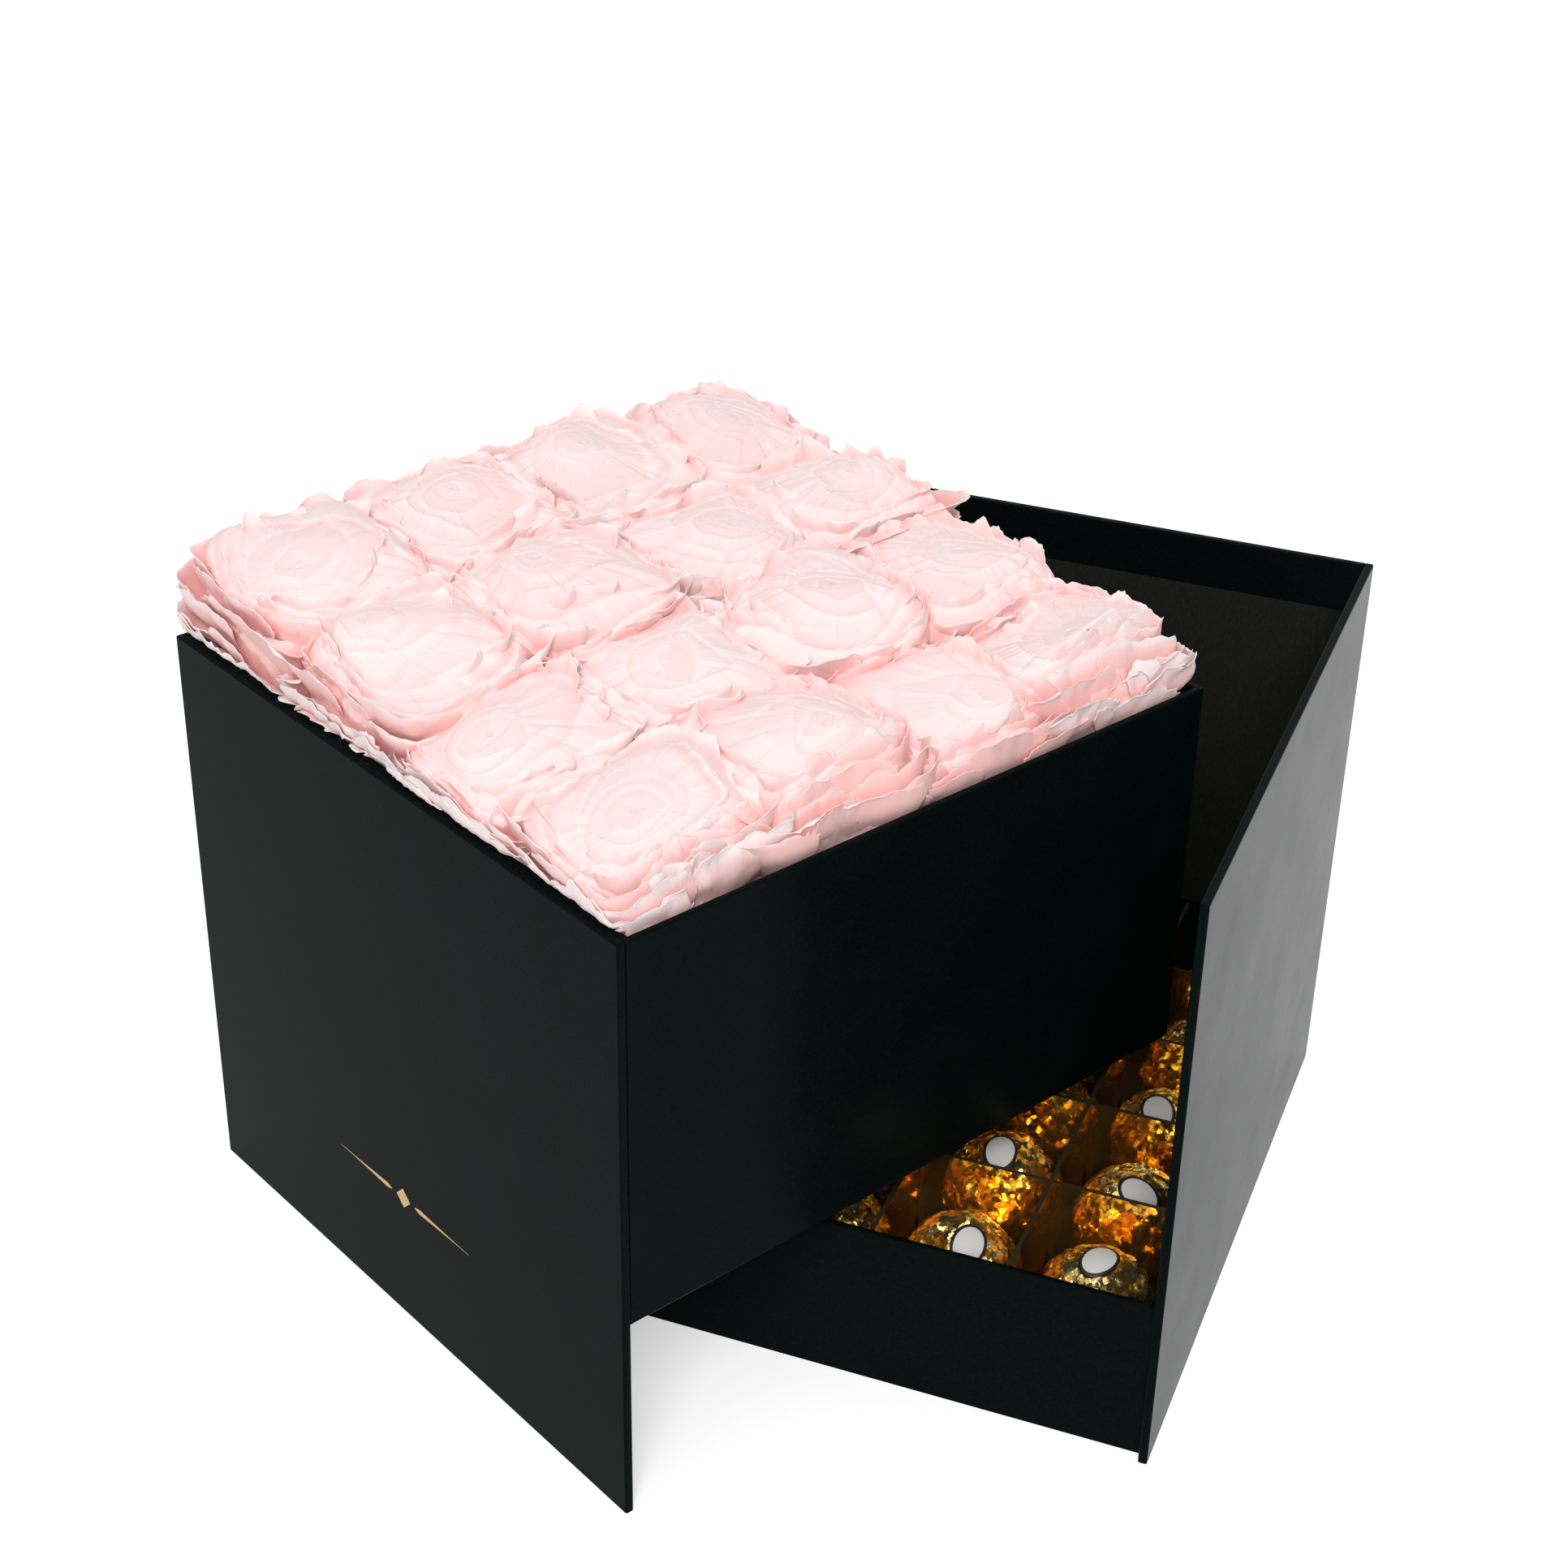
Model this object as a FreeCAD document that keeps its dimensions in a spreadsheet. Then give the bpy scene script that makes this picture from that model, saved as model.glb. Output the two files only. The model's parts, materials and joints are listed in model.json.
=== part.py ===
import FreeCAD, Part
import math
import os
import Sketcher

# A square swing-open gift box of paper-wrapped board. The base is a low tray of chocolates with a
# tall right and back panel. The flower box is a deep tray of roses with a tall front and left panel.
# The flower box swings about the upright back left edge and stands part open.
# The origin is under the middle of the base, +X to the right, +Y to the back, +Z up.

driving_sizes = (
    ("box_side", 200.0),  # outer width and depth of the closed box
    ("box_height", 175.0),
    ("panel_thick", 2.5),
    ("wall_thick", 2.0),
    ("floor_thick", 2.5),
    ("swing_gap", 0.8),  # air between the two halves when they are closed
    ("edge_round", 0.6),  # paper drawn round a board's edge
    ("swing_open", 28.0),  # degrees from closed
    ("tray_height", 50.0),
    ("flower_underside", 62.0),  # height of the flower tray's underside
    ("lining_thick", 0.3),
    ("turn_in", 15.5),  # wrapping paper folded over an edge, before the lining starts
    ("spine_land", 3.0),  # flat part of the spine beside its round nose
    ("spine_gap", 0.3),
    ("cloth_thick", 0.25),
    ("cloth_leaf", 14.0),
    ("cloth_inset", 2.0),  # cloth ends this far from the top and the bottom
    ("glue_line", 0.1),
    ("cells_across", 5.0),
    ("divider_thick", 1.2),
    ("slot_gap", 0.5),  # play on each side of a card in its slot
    ("end_gap", 0.3),  # play at the ends of a card and round a pad
    ("pad_height", 11.0),
    ("chocolate_width", 31.0),
    ("chocolate_foot", 12.0),  # diameter of the flat underside
    ("foam_top", 140.0),
    ("foam_gap", 0.5),
    ("roses_across", 4.0),
    ("rose_height", 66.0),
    ("rose_width", 45.6),
    ("petal_thick", 1.6),
    ("stem_width", 3.0),
    ("stem_depth", 40.0),
)

doc = FreeCAD.newDocument("flower_box")
dims = doc.addObject("Spreadsheet::Sheet", "dims")
for row, (alias, amount) in enumerate(driving_sizes, 1):
    dims.set("A%d" % row, str(amount))
    dims.setAlias("A%d" % row, alias)
doc.recompute()

# Faces of the closed box, measured from its middle
outer = "(dims.box_side / 2)"
inner = "(dims.box_side / 2 - dims.panel_thick)"
clear = "(dims.box_side / 2 - dims.panel_thick - dims.swing_gap)"
axis_x = "(-dims.box_side / 2 + dims.panel_thick / 2)"
axis_y = "(dims.box_side / 2 - dims.panel_thick / 2)"
axis_height = "0"

# Inner wall faces of the chocolate tray and of the flower tray; both trays are square, so that the low
# and the high face serve X and Y alike
tray_low = "(-%s + dims.wall_thick)" % clear
tray_high = "(%s - dims.wall_thick)" % inner
bed_low = "(-%s + dims.wall_thick)" % inner
bed_high = "(%s - dims.wall_thick)" % clear

upright = FreeCAD.Vector(0, 0, 1)
parts = []


def size(alias):
    return float(getattr(dims, alias))


def value(expression):
    return float(dims.evalExpression(expression))


def axis_of(body, role):
    return [feature for feature in body.Origin.OriginFeatures if feature.Role == role][0]


def swing(body):
    """Hang a flower box body on the hinge axis and open it."""
    body.Placement = FreeCAD.Placement(FreeCAD.Vector(), FreeCAD.Rotation(upright, -1))
    body.setExpression("Placement.Base.x", axis_x)
    body.setExpression("Placement.Base.y", axis_y)
    body.setExpression("Placement.Rotation.Angle", "-dims.swing_open * 1 deg")


def new_body(label, swings):
    body = doc.addObject("PartDesign::Body", label)
    body.Label = label
    body.AllowCompound = True
    if swings:
        swing(body)
    parts.append(body)
    return body


def block(body, kind, name, low, high, swings):
    """A box feature between two corners given in the closed box; a swinging one counts from the hinge."""
    hinge = (axis_x, axis_y, axis_height) if swings else ("0", "0", "0")
    feature = body.newObject("PartDesign::%sBox" % kind, name)
    for side, start, end in zip(("Length", "Width", "Height"), low, high):
        feature.setExpression(side, "%s - %s" % (end, start))
    for letter, start, zero in zip("xyz", low, hinge):
        feature.setExpression("Placement.Base." + letter, "%s - %s" % (start, zero))
    return feature


def edge_names(shape, places):
    """Names of a board's straight edges, each place naming the two faces that meet there, as +x+z."""
    box = shape.BoundBox
    faces = {
        "-x": (0, box.XMin), "+x": (0, box.XMax),
        "-y": (1, box.YMin), "+y": (1, box.YMax),
        "-z": (2, box.ZMin), "+z": (2, box.ZMax),
    }
    names = []
    for index, edge in enumerate(shape.Edges, 1):
        middle = edge.CenterOfMass
        for place in places:
            on_both = all(
                abs(middle[faces[mark][0]] - faces[mark][1]) < 1e-6 for mark in (place[:2], place[2:])
            )
            if on_both:
                names.append("Edge%d" % index)
    return names


def board(label, low, high, rounded=(), swings=False):
    """One flat board between two corners, with the paper drawn round its named edges."""
    body = new_body(label, swings)
    sheet = block(body, "Additive", label + "_board", low, high, swings)
    doc.recompute()
    if rounded:
        wrap = body.newObject("PartDesign::Fillet", label + "_wrap")
        wrap.Base = (sheet, edge_names(sheet.Shape, rounded))
        wrap.setExpression("Radius", "dims.edge_round")


def grid(body, feature, name, count, step, second=True):
    """Repeat a feature along X, and along Y too where second is set."""
    pattern = body.newObject("PartDesign::LinearPattern", name)
    pattern.Originals = [feature]
    pattern.Direction = (axis_of(body, "X_Axis"), [""])
    pattern.Occurrences = count
    pattern.setExpression("Length", "%s * %d" % (step, count - 1))
    if second:
        pattern.Direction2 = (axis_of(body, "Y_Axis"), [""])
        pattern.Occurrences2 = count
        pattern.setExpression("Length2", "%s * %d" % (step, count - 1))
    body.Tip = pattern


# Base: right and back panels, and the linings on their inner faces

panel_top = "dims.box_height"
board(
    "right_panel",
    (inner, "-" + outer, "0"),
    (outer, outer, panel_top),
    ("+x+z", "-x+z", "-y+z", "+y+z", "+x-y", "-x-y", "+x+y"),
)
back_start = "(%s + dims.spine_land)" % axis_x
board(
    "back_panel",
    (back_start, inner, "0"),
    (inner, outer, panel_top),
    ("+y+z", "-y+z"),
)
lining_top = "(dims.box_height - dims.turn_in)"
board(
    "right_lining",
    ("(%s - dims.lining_thick)" % inner, "(-%s + dims.turn_in)" % outer, "dims.tray_height"),
    (inner, inner, lining_top),
)
board(
    "back_lining",
    ("(-%s + dims.turn_in)" % outer, "(%s - dims.lining_thick)" % inner, "dims.tray_height"),
    ("(%s - dims.lining_thick)" % inner, inner, lining_top),
)

# Base: the chocolate tray

board(
    "tray_floor",
    (tray_low, tray_low, "0"),
    (tray_high, tray_high, "dims.floor_thick"),
)
board(
    "tray_front_wall",
    ("-" + clear, "-" + clear, "0"),
    (inner, tray_low, "dims.tray_height"),
    ("-y+z", "+y+z", "-x-y"),
)
board(
    "tray_back_wall",
    ("-" + clear, tray_high, "0"),
    (inner, inner, "dims.tray_height"),
    ("-y+z",),
)
board(
    "tray_left_wall",
    ("-" + clear, tray_low, "0"),
    (tray_low, tray_high, "dims.tray_height"),
    ("-x+z", "+x+z"),
)
board(
    "tray_right_wall",
    (tray_high, tray_low, "0"),
    (inner, tray_high, "dims.tray_height"),
    ("-x+z",),
)

# Base: crossed divider cards, halved into each other at mid-height

cells = int(size("cells_across"))
cell_step = "((%s - %s) / dims.cells_across)" % (tray_high, tray_low)
card_foot = "dims.floor_thick"
card_middle = "((dims.floor_thick + dims.tray_height) / 2)"
card_top = "dims.tray_height"


def divider(label, number, lengthwise):
    """A card with a row of half-height slots, from the top in lengthwise cards, from below in the others."""
    body = new_body(label, False)
    half = "(dims.divider_thick / 2)"
    block(
        body, "Additive", label + "_card",
        ("(%s + dims.end_gap)" % tray_low, "-" + half, card_foot),
        ("(%s - dims.end_gap)" % tray_high, half, card_top),
        False,
    )
    slot_half = "(dims.divider_thick / 2 + dims.slot_gap)"
    slot_at = "(%s + %s)" % (tray_low, cell_step)
    low, high = (card_middle, card_top) if lengthwise else (card_foot, card_middle)
    slot = block(
        body, "Subtractive", label + "_slot",
        ("(%s - %s)" % (slot_at, slot_half), "-dims.divider_thick", low),
        ("(%s + %s)" % (slot_at, slot_half), "dims.divider_thick", high),
        False,
    )
    doc.recompute()
    grid(body, slot, label + "_slots", cells - 1, cell_step, second=False)
    place = "%s + %s * %d" % (tray_low, cell_step, number)
    if lengthwise:
        body.Placement = FreeCAD.Placement(FreeCAD.Vector(), FreeCAD.Rotation(upright, 90))
    body.setExpression("Placement.Base." + ("x" if lengthwise else "y"), place)


for number in range(1, cells):
    divider("divider_long_%d" % number, number, True)
for number in range(1, cells):
    divider("divider_cross_%d" % number, number, False)

# Base: a pad in each cell, and a wrapped chocolate on each pad

pads = new_body("cell_pads", False)
pad_inset = "(dims.divider_thick / 2 + dims.end_gap)"
pad_top = "(dims.floor_thick + dims.pad_height)"
pad = block(
    pads, "Additive", "pad",
    ("(%s + %s)" % (tray_low, pad_inset), "(%s + %s)" % (tray_low, pad_inset), "dims.floor_thick"),
    (
        "(%s + %s - %s)" % (tray_low, cell_step, pad_inset),
        "(%s + %s - %s)" % (tray_low, cell_step, pad_inset),
        pad_top,
    ),
    False,
)
doc.recompute()
grid(pads, pad, "pads", cells, cell_step)


def chocolate_row(number):
    """A row of foil-wrapped balls, each a turned profile with a flat foot."""
    label = "chocolate_row_%d" % number
    body = new_body(label, False)
    sketch = body.newObject("Sketcher::SketchObject", label + "_profile")
    sketch.AttachmentSupport = [(axis_of(body, "XZ_Plane"), "")]
    sketch.MapMode = "FlatFace"
    radius = size("chocolate_width") / 2
    foot = size("chocolate_foot") / 2
    rise = math.sqrt(radius ** 2 - foot ** 2)
    centre = FreeCAD.Vector(0, rise, 0)
    ball = Part.Circle(centre, upright, radius)
    start = math.atan2(-rise, foot)
    sketch.addGeometry(Part.ArcOfCircle(ball, start, math.pi / 2), False)
    sketch.addGeometry(
        Part.LineSegment(FreeCAD.Vector(0, rise + radius, 0), FreeCAD.Vector(0, 0, 0)), False
    )
    sketch.addGeometry(Part.LineSegment(FreeCAD.Vector(0, 0, 0), FreeCAD.Vector(foot, 0, 0)), False)
    sketch.addConstraint([
        Sketcher.Constraint("Coincident", 0, 2, 1, 1),
        Sketcher.Constraint("Coincident", 1, 2, 2, 1),
        Sketcher.Constraint("Coincident", 2, 2, 0, 1),
        Sketcher.Constraint("Coincident", 2, 1, -1, 1),
        Sketcher.Constraint("PointOnObject", 1, 1, -2),
        Sketcher.Constraint("PointOnObject", 0, 3, -2),
        Sketcher.Constraint("Horizontal", 2),
    ])
    wide = sketch.addConstraint(Sketcher.Constraint("Radius", 0, radius))
    flat = sketch.addConstraint(Sketcher.Constraint("DistanceX", 2, 1, 2, 2, foot))
    sketch.setExpression("Constraints[%d]" % wide, "dims.chocolate_width / 2")
    sketch.setExpression("Constraints[%d]" % flat, "dims.chocolate_foot / 2")
    turn = body.newObject("PartDesign::Revolution", label + "_ball")
    turn.Profile = sketch
    turn.ReferenceAxis = (sketch, ["V_Axis"])
    turn.Angle = 360
    doc.recompute()
    grid(body, turn, label + "_balls", cells, cell_step, second=False)
    body.setExpression("Placement.Base.x", "%s + %s / 2" % (tray_low, cell_step))
    body.setExpression("Placement.Base.y", "%s + %s * %.1f" % (tray_low, cell_step, number - 0.5))
    body.setExpression("Placement.Base.z", pad_top)


for number in range(1, cells + 1):
    chocolate_row(number)

# Hinge: a round-nosed spine on the back panel's edge, with its nose on the swing axis


def hinge_spine():
    body = new_body("hinge_spine", False)
    sketch = body.newObject("Sketcher::SketchObject", "spine_section")
    sketch.AttachmentSupport = [(axis_of(body, "XY_Plane"), "")]
    sketch.MapMode = "FlatFace"
    nose = size("panel_thick") / 2
    land = size("spine_land")
    corners = [
        FreeCAD.Vector(0, -nose, 0), FreeCAD.Vector(land, -nose, 0),
        FreeCAD.Vector(land, nose, 0), FreeCAD.Vector(0, nose, 0),
    ]
    circle = Part.Circle(FreeCAD.Vector(), upright, nose)
    sketch.addGeometry(Part.ArcOfCircle(circle, math.pi / 2, math.pi * 1.5), False)
    for first, last in zip(corners, corners[1:]):
        sketch.addGeometry(Part.LineSegment(first, last), False)
    sketch.addConstraint([
        Sketcher.Constraint("Coincident", 0, 2, 1, 1),
        Sketcher.Constraint("Coincident", 1, 2, 2, 1),
        Sketcher.Constraint("Coincident", 2, 2, 3, 1),
        Sketcher.Constraint("Coincident", 3, 2, 0, 1),
        Sketcher.Constraint("Coincident", 0, 3, -1, 1),
        Sketcher.Constraint("PointOnObject", 0, 1, -2),
        Sketcher.Constraint("PointOnObject", 0, 2, -2),
        Sketcher.Constraint("Horizontal", 1),
        Sketcher.Constraint("Vertical", 2),
        Sketcher.Constraint("Horizontal", 3),
    ])
    round_nose = sketch.addConstraint(Sketcher.Constraint("Radius", 0, nose))
    flat = sketch.addConstraint(Sketcher.Constraint("DistanceX", 1, 1, 1, 2, land))
    sketch.setExpression("Constraints[%d]" % round_nose, "dims.panel_thick / 2")
    sketch.setExpression("Constraints[%d]" % flat, "dims.spine_land")
    pad = body.newObject("PartDesign::Pad", "spine_length")
    pad.Profile = sketch
    pad.setExpression("Length", "dims.box_height")
    body.setExpression("Placement.Base.x", axis_x)
    body.setExpression("Placement.Base.y", axis_y)


def hinge_cloth():
    """Cloth strip from the left panel's outer face, round the spine, to the back panel's outer face."""
    near = size("panel_thick") / 2
    thick = size("cloth_thick")
    leaf = size("cloth_leaf")
    turned = math.radians(180 - size("swing_open"))  # the left panel's outer normal
    bent = near + size("glue_line")

    def at(radius, angle, along=0.0):
        """A point off the axis, then along the leaf that leaves the bend at that angle."""
        run = angle + math.pi / 2 if along < 0 else angle - math.pi / 2
        return FreeCAD.Vector(
            radius * math.cos(angle) + abs(along) * math.cos(run),
            radius * math.sin(angle) + abs(along) * math.sin(run),
            0,
        )

    square = math.pi / 2
    middle = (square + turned) / 2
    rest = size("spine_land")
    inside, outside = near, near + thick
    points = [
        at(inside, square, leaf), at(inside, square, rest), at(bent, square),
        at(bent, turned), at(inside, turned, -rest), at(inside, turned, -leaf),
        at(outside, turned, -leaf), at(outside, turned, -rest), at(bent + thick, turned),
        at(bent + thick, square), at(outside, square, rest), at(outside, square, leaf),
    ]
    edges = []
    for index, first in enumerate(points):
        last = points[(index + 1) % len(points)]
        if index == 2:
            edges.append(Part.Arc(first, at(bent, middle), last).toShape())
        elif index == 8:
            edges.append(Part.Arc(first, at(bent + thick, middle), last).toShape())
        else:
            edges.append(Part.makeLine(first, last))
    section = Part.Face(Part.Wire(edges))
    inset = size("cloth_inset")
    strip = doc.addObject("Part::Feature", "hinge_cloth")
    strip.Label = "hinge_cloth"
    strip.Shape = section.extrude(upright * (size("box_height") - 2 * inset))
    strip.setExpression("Placement.Base.x", axis_x)
    strip.setExpression("Placement.Base.y", axis_y)
    strip.setExpression("Placement.Base.z", "dims.cloth_inset")
    parts.append(strip)


hinge_spine()
hinge_cloth()

# Flower box: front and left panels, and the linings below the flower tray

board(
    "front_panel",
    ("-" + outer, "-" + outer, "0"),
    (clear, "-" + inner, panel_top),
    ("-y+z", "+y+z", "+x+z", "-x+z", "+x-y", "-x-y", "+x+y"),
    True,
)
left_end = "(%s - dims.panel_thick / 2 - dims.spine_gap)" % axis_y
board(
    "left_panel",
    ("-" + outer, "-" + inner, "0"),
    ("-" + inner, left_end, panel_top),
    ("-x+z", "+x+z"),
    True,
)
board(
    "front_lining",
    ("(-%s + dims.lining_thick)" % inner, "-" + inner, "dims.turn_in"),
    ("(%s - dims.turn_in)" % clear, "(-%s + dims.lining_thick)" % inner, "dims.flower_underside"),
    (),
    True,
)
board(
    "left_lining",
    ("-" + inner, "-" + inner, "dims.turn_in"),
    ("(-%s + dims.lining_thick)" % inner, "(%s - dims.turn_in)" % left_end, "dims.flower_underside"),
    (),
    True,
)

# Flower box: the flower tray

bed_floor = "(dims.flower_underside + dims.floor_thick)"
board(
    "flower_floor",
    (bed_low, bed_low, "dims.flower_underside"),
    (bed_high, bed_high, bed_floor),
    (),
    True,
)
board(
    "flower_front_wall",
    ("-" + inner, "-" + inner, "dims.flower_underside"),
    (clear, bed_low, panel_top),
    ("-y+z", "+y+z", "+x+z", "+x-z"),
    True,
)
board(
    "flower_back_wall",
    ("-" + inner, bed_high, "dims.flower_underside"),
    (clear, clear, panel_top),
    ("-y+z", "+y+z", "+x+y", "+y-z", "+x-z"),
    True,
)
board(
    "flower_left_wall",
    ("-" + inner, bed_low, "dims.flower_underside"),
    (bed_low, bed_high, panel_top),
    ("-x+z", "+x+z"),
    True,
)
board(
    "flower_right_wall",
    (bed_high, bed_low, "dims.flower_underside"),
    (clear, bed_high, panel_top),
    ("-x+z", "+x+z", "+x-z"),
    True,
)

# Flower box: foam with a stem hole under each rose, and the stems

across = int(size("roses_across"))
rose_step = "((%s - %s) / dims.roses_across)" % (bed_high, bed_low)
first_rose = "(%s + %s / 2)" % (bed_low, rose_step)
foam = new_body("foam_block", True)
block(
    foam, "Additive", "foam",
    ("(%s + dims.foam_gap)" % bed_low, "(%s + dims.foam_gap)" % bed_low, bed_floor),
    ("(%s - dims.foam_gap)" % bed_high, "(%s - dims.foam_gap)" % bed_high, "dims.foam_top"),
    True,
)


def stem(body, kind, name):
    """The first stem, or its hole, of the grid."""
    rod = body.newObject("PartDesign::%sCylinder" % kind, name)
    rod.setExpression("Radius", "dims.stem_width / 2")
    rod.setExpression("Height", "dims.stem_depth")
    rod.setExpression("Placement.Base.x", "%s - %s" % (first_rose, axis_x))
    rod.setExpression("Placement.Base.y", "%s - %s" % (first_rose, axis_y))
    rod.setExpression("Placement.Base.z", "dims.foam_top - dims.stem_depth")
    doc.recompute()
    return rod


hole = stem(foam, "Subtractive", "stem_hole")
grid(foam, hole, "stem_holes", across, rose_step)
stems = new_body("rose_stems", True)
first_stem = stem(stems, "Additive", "stem")
grid(stems, first_stem, "stems", across, rose_step)

# Flower box: roses, each of scalloped cups of petals that stand inside one another round a bud


def scallop(lobes, tip, height, turn):
    """A closed outline of round petal edges, with a crease between each two."""
    crease = 0.9  # radius of a crease, against that of a petal's tip
    wide = 2 * math.pi / lobes
    edges = []
    for lobe in range(lobes):
        spots = []
        for step, radius in ((0, crease * tip), (0.5, tip), (1, crease * tip)):
            angle = turn + wide * (lobe + step)
            spots.append(FreeCAD.Vector(radius * math.cos(angle), radius * math.sin(angle), height))
        edges.append(Part.Arc(*spots).toShape())
    return Part.Wire(edges)


def petal_cup(lobes, turn, foot, belly, rim, hollow):
    """Petals of one ring, lofted through three (height, radius) pairs and open from the rim to hollow."""
    thick = size("petal_thick")
    cup = Part.makeLoft([scallop(lobes, r, z, turn) for z, r in (foot, belly, rim)], True, True)
    rise = (hollow - belly[0]) / (rim[0] - belly[0])
    floor_radius = belly[1] + (rim[1] - belly[1]) * rise
    inside = [(hollow, floor_radius - thick), (rim[0], rim[1] - thick)]
    return cup.cut(Part.makeLoft([scallop(lobes, r, z, turn) for z, r in inside], True, True))


def rose_shape():
    """A whole bloom on its own axis, standing on its calyx; ratios are of its height and half width."""
    tall = size("rose_height")
    wide = size("rose_width") / 2
    calyx_foot, calyx_rim, calyx_height = 0.18, 0.42, 0.16
    bud_width, bud_height = 0.2, 0.84
    # petals, turn, then the foot, belly and rim as (height, radius), then the height of the hollow's floor
    rings = (
        (5, 0.0, (0.13, 0.42), (0.42, 0.88), (0.70, 1.0), 0.54),
        (5, math.pi / 5, (0.48, 0.60), (0.66, 0.80), (0.81, 0.82), 0.68),
        (5, math.pi / 10, (0.62, 0.48), (0.78, 0.62), (0.90, 0.60), 0.79),
        (3, 0.0, (0.75, 0.34), (0.87, 0.42), (0.97, 0.38), 0.89),
    )
    cups = []
    for lobes, turn, foot, belly, rim, hollow in rings:
        spots = [(z * tall, r * wide) for z, r in (foot, belly, rim)]
        cups.append(petal_cup(lobes, turn, spots[0], spots[1], spots[2], hollow * tall))
    calyx = Part.makeCone(wide * calyx_foot, wide * calyx_rim, tall * calyx_height)
    bud_radius = wide * bud_width
    bud_foot = tall * bud_height
    bud = Part.makeCylinder(bud_radius, tall - bud_radius - bud_foot, FreeCAD.Vector(0, 0, bud_foot))
    crown = Part.makeSphere(bud_radius, FreeCAD.Vector(0, 0, tall - bud_radius))
    return calyx.multiFuse(cups + [bud, crown]).removeSplitter()


def roses():
    bloom = rose_shape()
    golden_turn = 137.5  # degrees, so that no two neighbours show the same side
    hinge = FreeCAD.Vector(value(axis_x), value(axis_y), 0)
    opened = FreeCAD.Placement(hinge, FreeCAD.Rotation(upright, -size("swing_open")))
    corner = value(first_rose)
    step = value(rose_step)
    for index in range(across * across):
        place = FreeCAD.Vector(corner + step * (index % across), corner + step * (index // across), 0)
        place = place - hinge + upright * size("foam_top")
        turned = FreeCAD.Placement(place, FreeCAD.Rotation(upright, golden_turn * index))
        rose = doc.addObject("Part::Feature", "rose_%d" % (index + 1))
        rose.Label = "rose_%d" % (index + 1)
        rose.Shape = bloom.copy()
        rose.Placement = opened.multiply(turned)
        parts.append(rose)


roses()

# Test every piece, then write it

doc.recompute()
for item in doc.Objects:
    if "Invalid" in item.State or "Error" in item.State:
        raise RuntimeError("%s did not rebuild: %s" % (item.Label, item.State))
for item in parts:
    if item.Shape.isNull() or not item.Shape.isValid():
        raise RuntimeError("%s has no sound solid" % item.Label)
os.makedirs("parts", exist_ok=True)
for item in parts:
    item.Shape.exportStep("parts/%s.step" % item.Label)
    print(item.Label, len(item.Shape.Solids), "solids", round(item.Shape.Volume), "mm3")
print(len(parts), "nodes")
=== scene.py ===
import json
import bpy
import numpy as np
from mathutils import Matrix, Vector
from numpy.random import default_rng


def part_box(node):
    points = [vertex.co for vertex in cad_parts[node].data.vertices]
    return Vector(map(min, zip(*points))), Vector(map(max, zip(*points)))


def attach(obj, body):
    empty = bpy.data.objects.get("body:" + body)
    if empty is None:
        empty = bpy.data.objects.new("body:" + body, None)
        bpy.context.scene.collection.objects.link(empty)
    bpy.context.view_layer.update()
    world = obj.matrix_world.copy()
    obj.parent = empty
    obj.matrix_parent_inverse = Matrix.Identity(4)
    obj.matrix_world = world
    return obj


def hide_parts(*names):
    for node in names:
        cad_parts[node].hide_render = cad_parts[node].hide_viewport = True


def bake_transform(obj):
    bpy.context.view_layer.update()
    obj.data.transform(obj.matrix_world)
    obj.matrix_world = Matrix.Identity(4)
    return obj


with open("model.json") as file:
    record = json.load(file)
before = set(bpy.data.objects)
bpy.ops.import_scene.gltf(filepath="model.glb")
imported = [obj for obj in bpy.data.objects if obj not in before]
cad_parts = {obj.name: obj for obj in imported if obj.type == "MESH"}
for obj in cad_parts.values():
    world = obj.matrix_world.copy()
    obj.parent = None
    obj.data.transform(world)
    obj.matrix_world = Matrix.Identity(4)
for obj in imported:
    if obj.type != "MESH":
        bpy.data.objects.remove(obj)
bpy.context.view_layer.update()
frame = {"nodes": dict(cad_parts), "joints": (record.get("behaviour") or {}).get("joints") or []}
nodes = frame["nodes"]
mm = 0.001
phaseEnd = 6.3  # random phases and turns run from 0 to this, about a full turn
foldMean = 0.64  # mean height of folded sine waves
print("frame loaded,", len(nodes), "nodes")

# The flower box is worked out shut, square to the base, and turned open about its hinge
swing = frame["joints"][0]
hinge = np.array([swing["pos_m"][0], swing["pos_m"][1], 0.0])
openTurn = -np.radians(swing["range_deg"][1])


def joined(*parts):
    # one grid of vectors, or of faces' corners, from its parts stretched to the same shape
    return np.stack(np.broadcast_arrays(*parts), -1)


def turned(points, angle):
    # turns points about the hinge's upright line by an angle
    off = points - hinge
    across = np.cos(angle) * off[..., 0] - np.sin(angle) * off[..., 1]
    deep = np.sin(angle) * off[..., 0] + np.cos(angle) * off[..., 1]
    return hinge + joined(across, deep, off[..., 2])


def shutBox(name):
    # lowest and highest corner of a flower box node, with the flower box turned shut
    mesh = nodes[name].data
    flatPoints = np.zeros(len(mesh.vertices) * 3, np.float32)
    mesh.vertices.foreach_get("co", flatPoints)
    points = turned(flatPoints.reshape(-1, 3).astype(float), -openTurn)
    return points.min(0), points.max(0)


def ramp(low, high, x):
    # rises evenly from 0 at low to 1 at high
    return np.clip((x - low) / (high - low), 0, 1)


def smooth(low, high, x):
    # rises from 0 at low to 1 at high along 3x^2 - 2x^3
    t = ramp(low, high, x)
    return t * t * (3 - 2 * t)


def circle(count):
    # angles at even steps round one turn
    return np.linspace(0, 2 * np.pi, count, endpoint=False)


def squareReach(across, deep, power):
    # distance to the edge of a rounded square: the shares across and deep, summed as powers
    return (across ** power + deep ** power) ** (-1 / power)


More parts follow.
